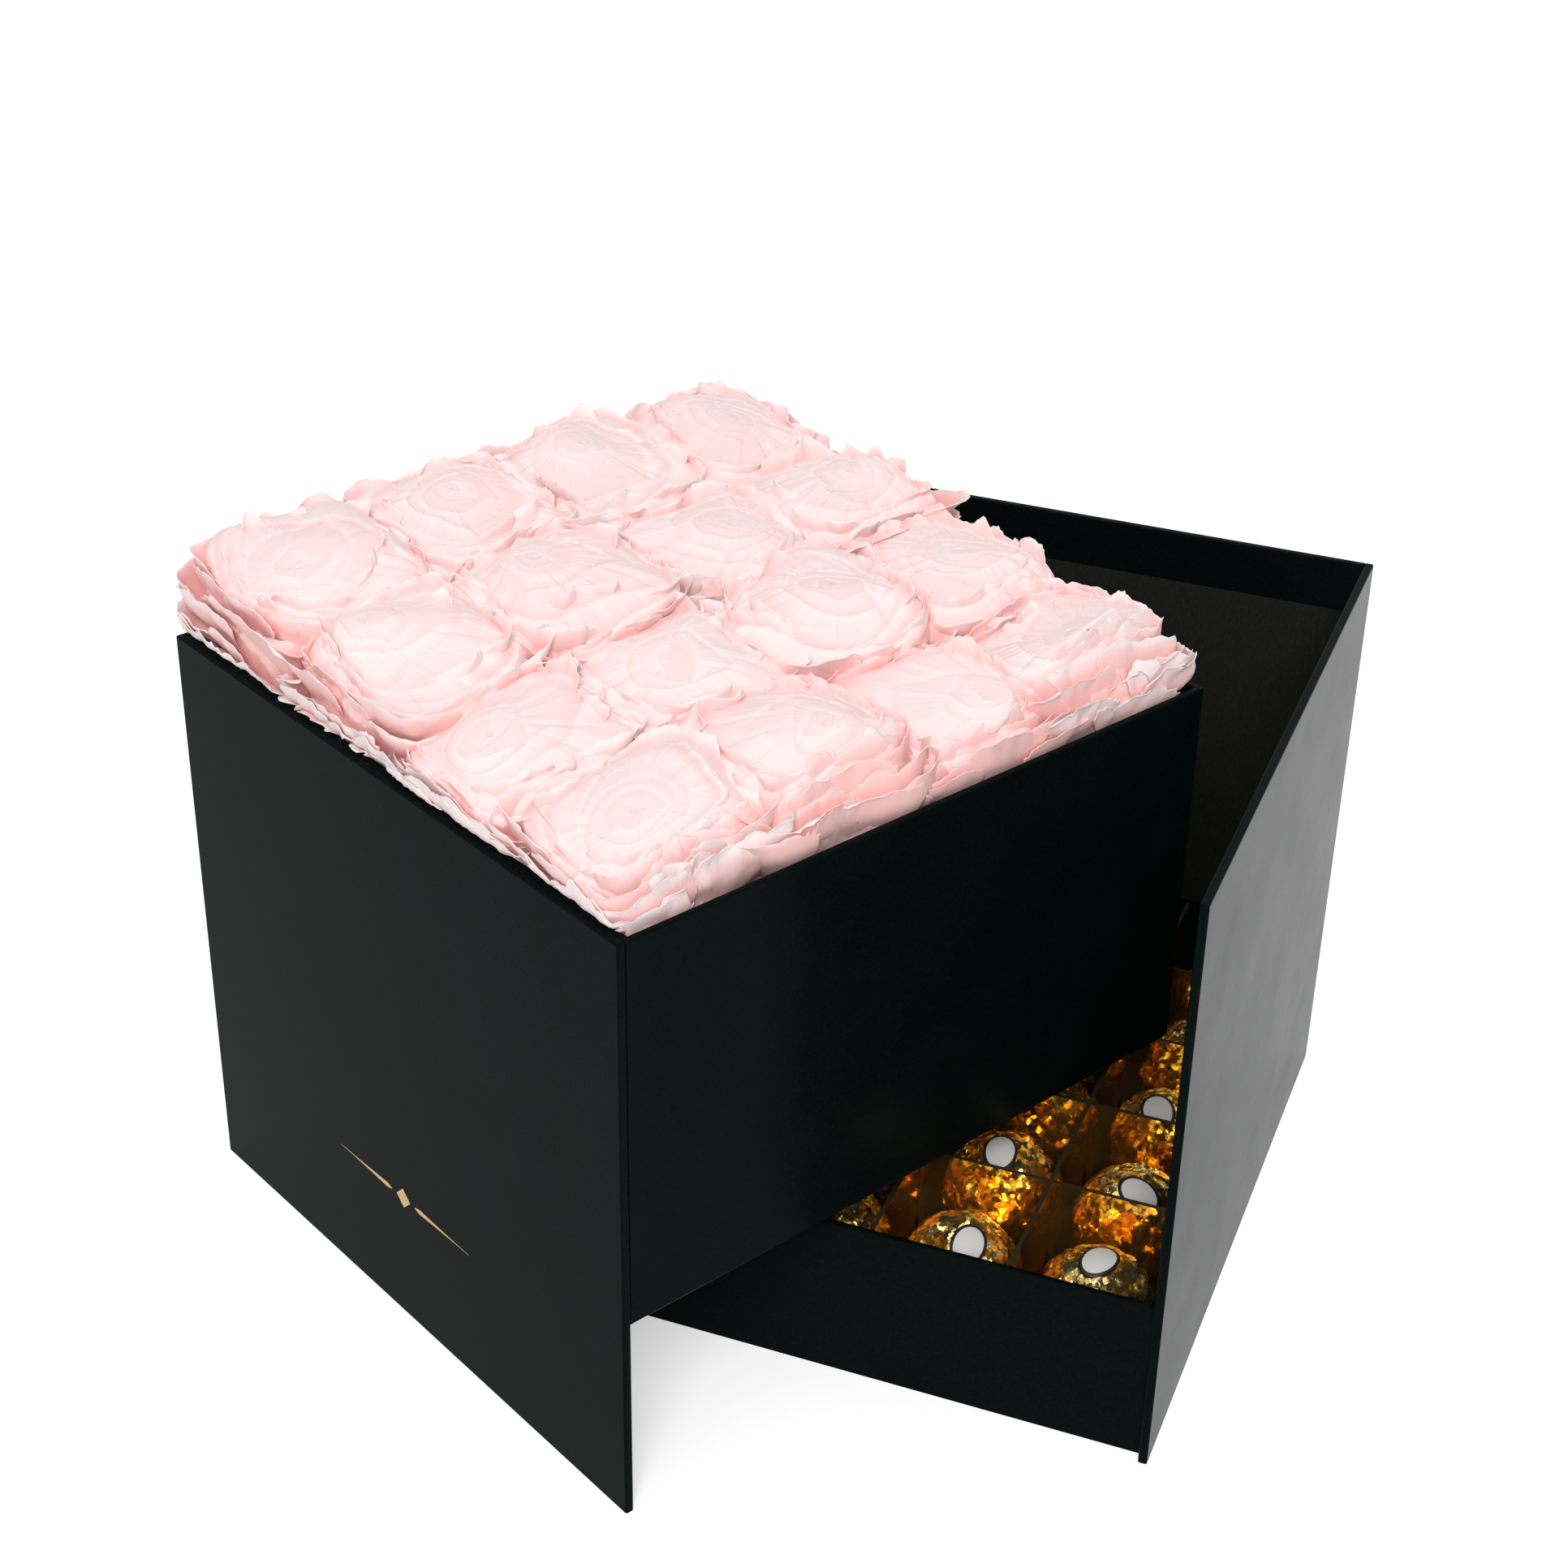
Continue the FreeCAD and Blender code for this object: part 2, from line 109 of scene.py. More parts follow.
def waveTurns(points, size, waves, rng):
    # how far plane waves of one length, in random directions, have turned at each point
    ways = rng.normal(size=(waves, 3))
    ways /= np.linalg.norm(ways, axis=1, keepdims=True)
    phase = rng.uniform(0, 2 * np.pi, waves)
    return points @ ways.T * (2 * np.pi / size) + phase


def ripple(points, size, waves, rng):
    # soft noise about 0: the mean of sine waves
    return np.sin(waveTurns(points, size, waves, rng)).mean(-1)


def creases(points, size, waves, rng):
    # crumpled noise from 0 to 1: the mean of folded sine waves, sharp where each one folds
    return np.abs(np.sin(waveTurns(points, 2 * size, waves, rng))).mean(-1)


def threeWays(kind, points, size, waves, rng):
    # one kind of noise for each of x, y and z
    return joined(*(kind(points, size, waves, rng) for _ in range(3)))


def gridFaces(rows, columns, ring=False):
    # quads between the points of a grid; a ring joins its last column to its first
    row, column = np.meshgrid(np.arange(rows - 1), np.arange(columns - (not ring)), indexing="ij")
    after = (column + 1) % columns
    corners = [row * columns + column, row * columns + after]
    corners += [(row + 1) * columns + after, (row + 1) * columns + column]
    return joined(*corners).reshape(-1, 4)


def cappedFaces(rows, columns):
    # quads between rings from a pole, point 0, down to another, the last point, and the poles' triangles
    body = gridFaces(rows, columns, ring=True)[:, ::-1] + 1
    ring = np.arange(columns)
    after = (ring + 1) % columns
    last = rows * columns + 1
    cap = joined(0, ring + 1, after + 1)
    base = joined(last, after + last - columns, ring + last - columns)
    return body, np.concatenate([cap, base])


def poled(grid):
    # a grid whose first and last rows are single points
    inner = grid[1:-1].reshape((-1,) + grid.shape[2:])
    return np.concatenate([grid[0, :1], inner, grid[-1, :1]])


def leafFaces(rows, columns):
    # a closed thin leaf: its outer sheet, its inner sheet turned over, and a strip round the edge
    outer = gridFaces(rows, columns)
    inner = outer[:, ::-1] + rows * columns
    index = np.arange(rows * columns).reshape(rows, columns)
    edge = np.concatenate([index[0, :-1], index[:-1, -1], index[-1, :0:-1], index[:0:-1, 0]])
    after = np.roll(edge, -1)
    strip = joined(edge + rows * columns, after + rows * columns, after, edge)
    return np.concatenate([outer, inner, strip])


def leafPoints(sheet, thick):
    # moves a grid half the thickness both ways along its normals, the cross products of its steps
    along = np.gradient(sheet, axis=-3)
    across = np.gradient(sheet, axis=-2)
    normal = np.cross(across, along)
    normal /= np.maximum(np.linalg.norm(normal, axis=-1, keepdims=True), 1e-12)
    half = normal * thick / 2
    return np.stack([sheet + half, sheet - half], -4)


def repeated(faces, count, size):
    # the faces of a number of equal bodies, whose points follow one another
    first = (np.arange(count) * size).reshape(-1, 1, 1)
    return [(part + first).reshape(-1, part.shape[1]) for part in faces]


def newObject(name, data):
    # an object in the scene
    made = bpy.data.objects.new(name, data)
    bpy.context.scene.collection.objects.link(made)
    return made


def addPiece(name, points, faces, finish, body, replaced=(), fields=None, uv=None, rounded=None):
    # puts points and lists of quads or triangles into a mesh, and hangs it on its body
    mesh = bpy.data.meshes.new(name)
    points = points.reshape(-1, 3)
    loops = np.concatenate([part.ravel() for part in faces])
    sides = np.concatenate([np.full(len(part), part.shape[1]) for part in faces])
    mesh.vertices.add(len(points))
    mesh.vertices.foreach_set("co", points.astype(np.float32).ravel())
    mesh.loops.add(len(loops))
    mesh.loops.foreach_set("vertex_index", loops.astype(np.int32))
    mesh.polygons.add(len(sides))
    mesh.polygons.foreach_set("loop_start", (np.cumsum(sides) - sides).astype(np.int32))
    mesh.update(calc_edges=True)
    mesh.polygons.foreach_set("use_smooth", np.ones(len(sides), bool) if rounded is None else rounded)
    for key, values in (fields or {}).items():
        layer = mesh.attributes.new(key, "FLOAT", "POINT")
        layer.data.foreach_set("value", values.astype(np.float32).ravel())
    if uv is not None:
        layer = mesh.uv_layers.new(name="UVMap")
        layer.data.foreach_set("uv", uv.reshape(-1, 2)[loops].astype(np.float32).ravel())
    mesh.materials.append(finish)
    piece = newObject(name, mesh)
    if body:
        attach(piece, body)
    if replaced:
        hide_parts(*replaced)
    return piece


class Wire:
    # one socket of a material's nodes
    def __init__(self, tree, socket=None):
        self.tree = tree
        self.socket = socket

    # any node: its kind, its settings, then the values or wires of its inputs
    def node(self, kind, settings=None, inputs=None, output=0):
        made = self.tree.nodes.new("ShaderNode" + kind)
        for name, value in (settings or {}).items():
            setattr(made, name, value)
        for name, value in (inputs or {}).items():
            if isinstance(value, Wire):
                self.tree.links.new(value.socket, made.inputs[name])
            else:
                made.inputs[name].default_value = value
        return Wire(self.tree, made.outputs[output] if made.outputs else None)

    # sums of wires and numbers add Math nodes
    def sums(self, operation, first, second):
        return self.node("Math", {"operation": operation}, {0: first, 1: second})

    def __add__(self, other):
        return self.sums("ADD", self, other)

    def __radd__(self, other):
        return self.sums("ADD", other, self)

    def __sub__(self, other):
        return self.sums("SUBTRACT", self, other)

    def __rsub__(self, other):
        return self.sums("SUBTRACT", other, self)

    def __mul__(self, other):
        return self.sums("MULTIPLY", self, other)

    def __rmul__(self, other):
        return self.sums("MULTIPLY", other, self)

    # the value that a mesh carries at each point, by its name
    def carried(self, name):
        return self.node("Attribute", {"attribute_name": name}, None, "Fac")

    # places scaled along x, y and z; a small scale draws a noise out that way
    def drawn(self, scale):
        return self.node("Mapping", None, {"Vector": self, "Scale": scale})

    # noise whose spots are about one size across
    def noise(self, size, detail=3.0, rough=0.55):
        inputs = {"Vector": self, "Scale": 1 / size, "Detail": detail, "Roughness": rough}
        return self.node("TexNoise", None, inputs, "Fac")

    # rises from 0 at low to 1 at high, with soft ends
    def ranged(self, low, high):
        inputs = {"Value": self, "From Min": low, "From Max": high}
        return self.node("MapRange", {"interpolation_type": "SMOOTHSTEP"}, inputs)

    # one colour where the wire is 0, the other where it is 1
    def mixed(self, first, second):
        return self.node("Mix", {"data_type": "RGBA"}, {0: self, 6: first, 7: second}, 2)

    # normals of a relief whose heights 0 and 1 are one depth apart
    def bumped(self, depth, strength=1.0):
        return self.node("Bump", None, {"Strength": strength, "Distance": depth, "Height": self})


def rgb(red, green, blue):
    # a colour with full cover
    return (red, green, blue, 1.0)


def newFinish(name, kind="TexCoord", output="Object"):
    # an empty material, and a wire with the place of each point
    finish = bpy.data.materials.new(name)
    finish.use_nodes = True
    finish.node_tree.nodes.clear()
    return finish, Wire(finish.node_tree).node(kind, None, None, output)


def surfaced(finish, inputs):
    # joins the inputs to a shader and the shader to the material
    start = Wire(finish.node_tree)
    start.node("OutputMaterial", None, {"Surface": start.node("BsdfPrincipled", None, inputs)})
    return finish


# Finishes of one grain: matt lining paper, the ornament's stamped foil, brown crepe and green stems

plainLook = {"draw": (1, 1, 1), "detail": (3.0, 0.55), "metal": 0.0, "gloss": 0.5, "swing": 0.2}
lining = {
    **plainLook,
    "low": rgb(0.009, 0.0095, 0.009), "high": rgb(0.017, 0.0175, 0.016), "range": (0.3, 0.7),
    "grain": 0.5 * mm, "draw": (1, 1, 0.35), "detail": (4.0, 0.7),
    "depth": 0.04 * mm, "rough": 0.7, "gloss": 0.12,
}
stamp = {
    **plainLook,
    "low": rgb(0.62, 0.44, 0.20), "high": rgb(0.46, 0.32, 0.14), "range": (0.4, 0.7),
    "grain": 0.7 * mm, "depth": 0.02 * mm, "rough": 0.38, "metal": 0.75,
}
tissue = {
    **plainLook,
    "low": rgb(0.035, 0.018, 0.008), "high": rgb(0.09, 0.05, 0.022), "range": (0.3, 0.7),
    "grain": 0.9 * mm, "draw": (1, 0.25, 1), "depth": 0.25 * mm, "rough": 0.75, "swing": 0.15,
}
stem = {
    **plainLook,
    "low": rgb(0.07, 0.13, 0.035), "high": rgb(0.12, 0.09, 0.035), "range": (0.35, 0.7),
    "grain": 0.5 * mm, "draw": (1, 1, 0.08), "depth": 0.1 * mm, "rough": 0.55,
}


def grained(name, look):
    # tone, roughness and relief follow one noise
    finish, place = newFinish(name)
    grain = place.drawn(look["draw"]).noise(look["grain"], *look["detail"])
    return surfaced(finish, {
        "Base Color": grain.ranged(*look["range"]).mixed(look["low"], look["high"]),
        "Metallic": look["metal"],
        "Roughness": look["rough"] + grain * look["swing"],
        "Specular IOR Level": look["gloss"],
        "Normal": grain.bumped(look["depth"]),
    })


# Wrapping paper: near black, with a fine leathery grain and a faint cloud in tone and gloss

paper = {
    "dark": rgb(0.0016, 0.0034, 0.0032),
    "light": rgb(0.003, 0.0056, 0.0054),
    "grain": 0.9 * mm, "fibre": 0.28 * mm, "cloud": 26 * mm, "depth": 0.03 * mm,
}


def wrappingPaper():
    # tone and roughness follow grain and cloud, and the relief follows grain and fibre
    finish, place = newFinish("wrapping_paper")
    grain = place.noise(paper["grain"], 2.0)
    fibre = place.noise(paper["fibre"], 1.0)
    cloud = place.noise(paper["cloud"])
    tone = (grain * 0.6 + cloud * 0.4).ranged(0.35, 0.65)
    return surfaced(finish, {
        "Base Color": tone.mixed(paper["dark"], paper["light"]),
        "Roughness": 0.12 + cloud * 0.1 + grain * 0.08,
        "Specular IOR Level": 0.0168,
        "Normal": (grain * 0.7 + fibre * 0.3).bumped(paper["depth"]),
    })


# Divider cards: mirror gold card, with dull paper showing on the cut top edges

card = {
    "bright": rgb(1.0, 0.67, 0.20),
    "deep": rgb(0.96, 0.55, 0.11),
    "cut": rgb(0.05, 0.042, 0.02),
    "cutBand": 0.08 * mm, "scuff": 1.4 * mm, "draw": (1, 1, 0.08), "cloud": 12 * mm,
    "depth": 0.05 * mm,
}


def goldCard():
    # the faces follow scuffs and a cloud; above a height just below the top, the cut edge's look is added
    finish, place = newFinish("gold_card")
    height = place.node("SeparateXYZ", None, {"Vector": place}, "Z")
    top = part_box("divider_long_1")[1].z
    onEdge = place.sums("GREATER_THAN", height, top - card["cutBand"])
    scuff = place.drawn(card["draw"]).noise(card["scuff"], 4.0, 0.65)
    cloud = place.noise(card["cloud"], 2.0)
    face = cloud.ranged(0.35, 0.65).mixed(card["bright"], card["deep"])
    return surfaced(finish, {
        "Base Color": onEdge.mixed(face, card["cut"]),
        "Metallic": 0.97 - onEdge * 0.6,
        "Roughness": 0.05 + scuff.ranged(0.45, 0.75) * 0.07 + onEdge * 0.3,
        "Normal": (scuff * 0.4 + cloud * 0.6).bumped(card["depth"], 0.3),
    })


# Chocolate foil: gold, broken into facets that each tilt their own way, over the crumples of the mesh

foil = {
    "bright": rgb(1.0, 0.84, 0.36),
    "deep": rgb(1.0, 0.62, 0.15),
    "facets": ((5.0 * mm, 0.75), (1.5 * mm, 0.65)),  # sizes and tilts of large and small ones
    "wander": 4 * mm, "bend": 2.2 * mm, "patch": 3.5 * mm, "wrinkle": 0.8 * mm,
    "depth": 0.2 * mm,
}


def goldFoil():
    # the normal, plus a random vector for each cell of two sizes, plus the relief of fine wrinkles; the
    # cells are bent by a noise, and tone and roughness change from patch to patch
    finish, place = newFinish("chocolate_foil")

    def scaledSum(vector, scale, added):
        # a vector times a number, plus another vector
        inputs = {0: vector, 1: (scale,) * 3, 2: added}
        return place.node("VectorMath", {"operation": "MULTIPLY_ADD"}, inputs)

    wandering = {"Vector": place, "Scale": 1 / foil["wander"], "Detail": 3.0}
    shifted = scaledSum(place.node("TexNoise", None, wandering, "Color"), foil["bend"], place)
    facing = place.node("NewGeometry", None, None, "Normal")
    for size, tilt in foil["facets"]:
        chance = place.node("TexVoronoi", None, {"Vector": shifted, "Scale": 1 / size}, "Color")
        spread = place.node("VectorMath", {"operation": "SUBTRACT"}, {0: chance, 1: (0.5,) * 3})
        facing = scaledSum(spread, tilt, facing)
    facing = place.node("VectorMath", {"operation": "NORMALIZE"}, {0: facing})
    patch = place.noise(foil["patch"], 2.0)
    wrinkle = shifted.noise(foil["wrinkle"], 2.0)
    bump = {"Strength": 0.6, "Distance": foil["depth"], "Height": wrinkle, "Normal": facing}
    return surfaced(finish, {
        "Base Color": patch.ranged(0.35, 0.7).mixed(foil["bright"], foil["deep"]),
        "Metallic": 0.96,
        "Roughness": 0.13 + wrinkle * 0.1 + patch.ranged(0.4, 0.6) * 0.14,
        "Normal": place.node("Bump", None, bump),
    })


# Seal paper: white, with a broad dark printed line along its rim

sealInk = {
    "paper": rgb(0.86, 0.855, 0.83),
    "shade": rgb(0.78, 0.775, 0.74),
    "ink": rgb(0.022, 0.016, 0.012),
    "line": (0.82, 0.84),  # the ink starts between these shares of the way out
    "fibre": 0.35 * mm, "depth": 0.03 * mm,
}


def sealPaper():
    # white by its fibres, and ink past a share of the way out from the middle
    finish, place = newFinish("seal_paper")
    fibre = place.noise(sealInk["fibre"])
    white = fibre.mixed(sealInk["paper"], sealInk["shade"])
    return surfaced(finish, {
        "Base Color": place.carried("reach").ranged(*sealInk["line"]).mixed(white, sealInk["ink"]),
        "Roughness": 0.34 + fibre * 0.2,
        "Normal": fibre.bumped(sealInk["depth"]),
    })


# Flower foam: grey green, open pored

foam = {
    "solid": rgb(0.060, 0.105, 0.055),
    "pore": rgb(0.016, 0.032, 0.015),
    "pores": 0.7 * mm, "cloud": 9 * mm, "depth": 0.3 * mm,
}


def flowerFoam():
    # tone and relief follow the distance from the middle of each pore
    finish, place = newFinish("flower_foam")
    pores = place.node("TexVoronoi", None, {"Vector": place, "Scale": 1 / foam["pores"]}, "Distance")
    cloud = place.noise(foam["cloud"])
    return surfaced(finish, {
        "Base Color": (pores + cloud * 0.2).ranged(0.25, 0.6).mixed(foam["pore"], foam["solid"]),
        "Roughness": 0.85 + cloud * 0.1,
        "Normal": pores.bumped(foam["depth"]),
    })


# Hinge cloth: black book cloth, a plain weave

cloth = {
    "dark": rgb(0.002, 0.003, 0.003),
    "light": rgb(0.006, 0.008, 0.008),
    "threads": 1 / (0.45 * mm) / 6.283,  # as the wave node counts them
    "slub": 3 * mm, "depth": 0.08 * mm,
}


def bookCloth():
    # the higher of two crossing sets of waves makes the weave, and a noise its slubs
    finish, place = newFinish("book_cloth", "UVMap", "UV")
    threads = {"Vector": place, "Scale": cloth["threads"], "Distortion": 0.4, "Detail": 1.0}
    warp = place.node("TexWave", {"bands_direction": "X"}, threads, "Fac")
    weft = place.node("TexWave", {"bands_direction": "Y"}, threads, "Fac")
    weave = place.sums("MAXIMUM", warp, weft)
    slub = place.noise(cloth["slub"])
    return surfaced(finish, {
        "Base Color": (weave * 0.7 + slub * 0.3).mixed(cloth["dark"], cloth["light"]),
        "Roughness": 0.62 + slub * 0.2,
        "Specular IOR Level": 0.05,
        "Normal": weave.bumped(cloth["depth"]),
    })


# Petals: pale pink, deeper towards the heart, ashy and thin at the outer rims, with fanned veins

petal = {
    "deep": rgb(0.985, 0.585, 0.555),
    "blush": rgb(0.99, 0.735, 0.72),
    "pale": rgb(0.995, 0.84, 0.83),
    "ash": rgb(0.90, 0.843, 0.837),
    "veins": (26.0, 1.6, 1.0),  # spots of noise across and along a petal
    "mottle": 5 * mm, "crinkle": 1.8 * mm, "depth": 0.2 * mm,
}


def petalSkin():
    # deep to blush to pale by the rise along the petal, which on the heart also carries painted shade in
    # hollows and between blooms and painted light on ridges; ash by the rise times the place outwards in
    # the rose, then veins of the deep tone; the relief is of veins, crinkles and mottling
    finish, place = newFinish("petal_skin")
    rise = place.carried("rise")
    outward = place.carried("outward")
    tone = place.carried("tone")
    vein = place.node("UVMap").drawn(petal["veins"]).noise(1.0, 3.0, 0.5)
    mottle = place.noise(petal["mottle"])
    crinkle = place.noise(petal["crinkle"], 2.0)
    inner = rise.ranged(0.7, 0.93).mixed(petal["deep"], petal["blush"])
    upper = (rise + tone * 0.06).ranged(0.90, 1.03).mixed(inner, petal["pale"])
    outermost = outward.ranged(0.70, 0.88)
    rimPart = rise.ranged(0.84 - outermost * 0.3, 1.0 - outermost * 0.1)
    rim = rimPart * (outward + tone * 0.4 + mottle * 0.3).ranged(0.66, 1.2)
    ashy = (rim * 0.8).mixed(upper, petal["ash"])
    relief = vein * 0.55 + crinkle * 0.3 + mottle * 0.15
    return surfaced(finish, {
        "Base Color": (vein.ranged(0.45, 0.75) * 0.22).mixed(ashy, petal["deep"]),
        "Roughness": 0.55 + mottle * 0.2,
        "Specular IOR Level": 0.2,
        "Subsurface Weight": 0.15,
        "Subsurface Radius": (1.0, 0.85, 0.8),
        "Subsurface Scale": 0.5 * mm,
        "Sheen Weight": 0.12,
        "Normal": relief.bumped(petal["depth"], 0.8),
    })


finishes = {
    "wrapping": wrappingPaper(),
    "lining": grained("lining_paper", lining),
    "card": goldCard(),
    "foil": goldFoil(),
    "stamp": grained("stamped_foil", stamp),
    "seal": sealPaper(),
    "tissue": grained("pad_tissue", tissue),
    "foam": flowerFoam(),
    "stem": grained("stem_skin", stem),
    "cloth": bookCloth(),
    "petal": petalSkin(),
}
print("finishes mixed,", len(finishes))

# Nodes that keep their own shape take their finish by the words in their names
finishWords = (
    ("lining", "lining"), ("divider", "card"), ("foam", "foam"), ("stems", "stem"),
    ("panel", "wrapping"), ("wall", "wrapping"), ("floor", "wrapping"), ("spine", "wrapping"),
)
for name, node in nodes.items():
    for word, finish in finishWords:
        if word in name:
            node.data.materials.clear()
            node.data.materials.append(finishes[finish])
            break
print("boards papered")

# Roses: a closed heart with its petal rims in relief, and thin free petals round it

rose = {
    "golden": np.radians(137.508),
    # the dome's drop at its edge: the first as a square, the second as a sixth power
    "soft": 3.8 * mm, "steep": 4.0 * mm,
    "depth": 34 * mm,  # from the dome's top down to the petals' feet
    # powers of the rounded squares that the heart and the free petals fill
    "heartSquare": 3.4, "petalSquare": 6.5,
    "lumps": ((2, 0.045), (3, 0.035)),  # waves round the square, and how far each moves its edge
    "overlap": 3 * mm,  # how far neighbours reach into each other
    "round": 24 * mm,  # reach near the middle, before it takes the cell's shape
    "bulge": {"left": 7 * mm, "right": -4.5 * mm, "front": -0.6 * mm, "back": 1 * mm},
    "spill": {"left": 9 * mm, "right": 0.3 * mm, "front": 5.2 * mm, "back": 5 * mm},
    "spillWave": 32 * mm, "spillMean": 0.8, "spillSwing": 0.25,
    "clear": 0.35 * mm,  # from the tray's inner faces
    "ease": 3 * mm,  # how far from that limit petals start to be held back
    "slope": 0.45,  # how far the bed's right edge leans inwards, for its height above the rim
    "warp": 2.4 * mm, "warpSize": 30 * mm, "seed": 11,
}
# a heart's place: millimetres right and back of its cell's middle, height, and degrees leant to the
# right and to the front
stances = (
    (8, -9, 204, 8, 10), (-8, -9, 198, 2, 14), (-2, -11, 190, 0, 18), (1, -3, 190, 6, 14),
    (-6, 0, 204, 8, 2), (-9, -5, 202, 0, 4), (1, -4, 195, 2, 8), (5, 5, 194, 8, 4),
    (-8, 0, 205, 8, 0), (5, 7, 200, 2, 2), (1, 4, 199, 2, 2), (10, 8, 187, 14, 2),
    (-2, 3, 203, 6, -2), (-2, 8, 201, 0, 0), (2, 3, 196, 2, 0), (6, -3, 193, -10, 8),
)
bedLow = shutBox("flower_left_wall")[1][0], shutBox("flower_front_wall")[1][1]
bedHigh = shutBox("flower_right_wall")[0][0], shutBox("flower_back_wall")[0][1]
rimHeight = shutBox("flower_right_wall")[1][2]
roseNames = [name for name in nodes if name.startswith("rose_") and name[5:].isdigit()]
roseNames.sort(key=lambda name: int(name[5:]))
roseSide = int(round(len(roseNames) ** 0.5))
roseStep = (bedHigh[0] - bedLow[0]) / roseSide


def domeDrop(share):
    # how far the dome has dropped at a share of its reach: a square and a sixth power
    return rose["soft"] * share ** 2 + rose["steep"] * share ** 6


def petalRow(count, rng):
    # the petals' numbers from the heart outwards, their shares of the way, and a function that draws
    # one number for each petal, evenly between two ends
    k = np.arange(count).reshape(-1, 1, 1)
    return k, (k + 0.5) / count, lambda low, high: rng.uniform(low, high, (count, 1, 1))


heart = {
    "rings": 96, "columns": 200, "petals": 32, "reach": 26 * mm,
    "domeEnd": 0.72, "sideEnd": 0.94,  # shares of the rings at which the dome and the side end
    "side": 21 * mm,  # how far the steep side goes down from the dome's edge
    "tuck": 0.08,  # how far it leans in at its foot
    # half of a petal's turn about the axis, and how much more the innermost have
    "width": 1.05, "budWidth": 1.1, "budFade": 0.1,
    "step": 1.6 * mm,  # height of the outermost rim's step; the inner ones are lower
    "fade": 4.0 * mm, "edge": 0.45 * mm, "torn": 0.3 * mm,
    "pucker": 1.4 * mm, "puckerSizes": (9 * mm, 3.6 * mm),
    "puckerFrom": (6 * mm, 20 * mm),  # they begin between these distances from the pole
    "around": 5,  # rings and columns each way that the relief is measured against, for the painted shade of hollows and the painted light of ridges
    # the petals' tone on the dome; painted shade deepens it in hollows, painted light pales it on ridges,
    # and down the steep side it deepens, partly as petals deepen towards their feet and partly as painted
    # shade in the gaps between blooms
    "rise": 0.93, "hollow": 0.14, "ridgeLight": 0.07, "flankDeepAndShade": 0.19,
}


def aboveMean(grid, steps):
    # height of each point of a ringed grid above the mean of a square window round it
    wide = np.pad(np.pad(grid, ((steps, steps), (0, 0)), "edge"), ((0, 0), (steps, steps)), "wrap")
    windows = np.lib.stride_tricks.sliding_window_view(wide, (2 * steps + 1, 2 * steps + 1))
    return grid - windows.mean((-2, -1))


def heartBody(turn, rng):
    # a profile of dome, steep side and foot, turned about the axis; petal k raises it by a step along its
    # rim, at a distance from the pole that grows with k and more so at the petal's two sides; the step
    # fades away from the pole, and where petals overlap the highest one counts
    k, t, each = petalRow(heart["petals"], rng)
    angle = circle(heart["columns"]).reshape(1, 1, -1)
    p = np.linspace(0, 1, heart["rings"])
    dome = ramp(0, heart["domeEnd"], p)
    down = ramp(heart["domeEnd"], heart["sideEnd"], p)
    foot = ramp(heart["sideEnd"], 1, p)
    share = (dome - heart["tuck"] * down ** 2) * (1 - foot ** 2)
    footDrop = rose["depth"] - rose["soft"] - rose["steep"] - heart["side"]
    height = -domeDrop(dome) - heart["side"] * down - footDrop * foot
    stepOut, stepUp = np.gradient(share * heart["reach"]), np.gradient(height)
    length = np.hypot(stepOut, stepUp)
    walked = (np.cumsum(length) - length[0]).reshape(1, -1, 1)
    lengthAll = heart["reach"] + heart["side"]
    width = heart["width"] + heart["budWidth"] * np.exp(-t / heart["budFade"])
    side = (angle - turn - k * rose["golden"] + np.pi) % (2 * np.pi) - np.pi
    u = side / width / each(0.85, 1.15)
    wave = np.sin(side * each(1.5, 3.5) + each(0, phaseEnd)) * (0.5 + 1.2 * t) * mm
    wave = wave + np.sin(side * each(5, 9) + each(0, phaseEnd)) * 0.4 * t * mm
    torn = rng.uniform(-1, 1, (heart["petals"], 1, heart["columns"])) * t * heart["torn"]
    span = lengthAll * t * each(0.93, 1.07)
    slant = each(-1, 1.6) * (0.6 + 2.4 * t) * u
    droop = (1.2 + 4 * t) * np.abs(u) ** 3
    rim = span + (slant + droop) * mm + wave + torn
    away = walked - rim
    covered = smooth(-heart["edge"], 0, away) * smooth(1.15, 0.95, np.abs(u))
    fading = np.exp(-np.maximum(away, 0) / heart["fade"] / each(0.8, 1.6)) * covered
    raised = fading * heart["step"] * (0.15 + 0.85 * t) * each(0.5, 1.3)
    top = raised.argmax(0)[None]
    relief = np.take_along_axis(raised, top, 0)[0]
    around = angle[0] + 0 * relief
    lines = (share, height, foot, walked)
    share, height, foot, walked = (line.reshape(-1, 1) + 0 * relief for line in lines)
    fan = joined(np.cos(around), np.sin(around), 0.3 * walked / heart["reach"]) * heart["reach"]
    coarse, fine = (creases(fan, size, 5, rng) - foldMean for size in heart["puckerSizes"])
    pucker = (coarse + 0.5 * fine) * heart["pucker"] * smooth(*heart["puckerFrom"], walked)
    out = (relief + pucker) * (1 - foot)
    share = share - out * (stepUp / length).reshape(-1, 1) / heart["reach"]
    height = height + out * (stepOut / length).reshape(-1, 1)
    # painted shade and painted light: the tone deepens where the relief lies below its local mean and pales
    # where it stands above it
    reliefShading = np.clip(aboveMean(relief, heart["around"]) / (0.3 * heart["step"]), -1, 1)
    rise = heart["rise"] + np.where(reliefShading < 0, heart["hollow"], heart["ridgeLight"]) * reliefShading
    # partly painted shade: the tone deepens down the steep side into the gaps between blooms, as well as
    # towards the petals' feet
    rise = rise - heart["flankDeepAndShade"] * smooth(0.5, 0.72, walked / lengthAll)
    tone = np.take_along_axis(each(0, 1) + 0 * fading, top, 0)[0]
    turns = np.abs((around / np.pi + 1) % 2 - 1) * 2.6
    fields = {"rise": rise, "outward": 0.3 * walked / lengthAll, "tone": tone}
    return share, around, height, fields, joined(turns, walked / lengthAll)


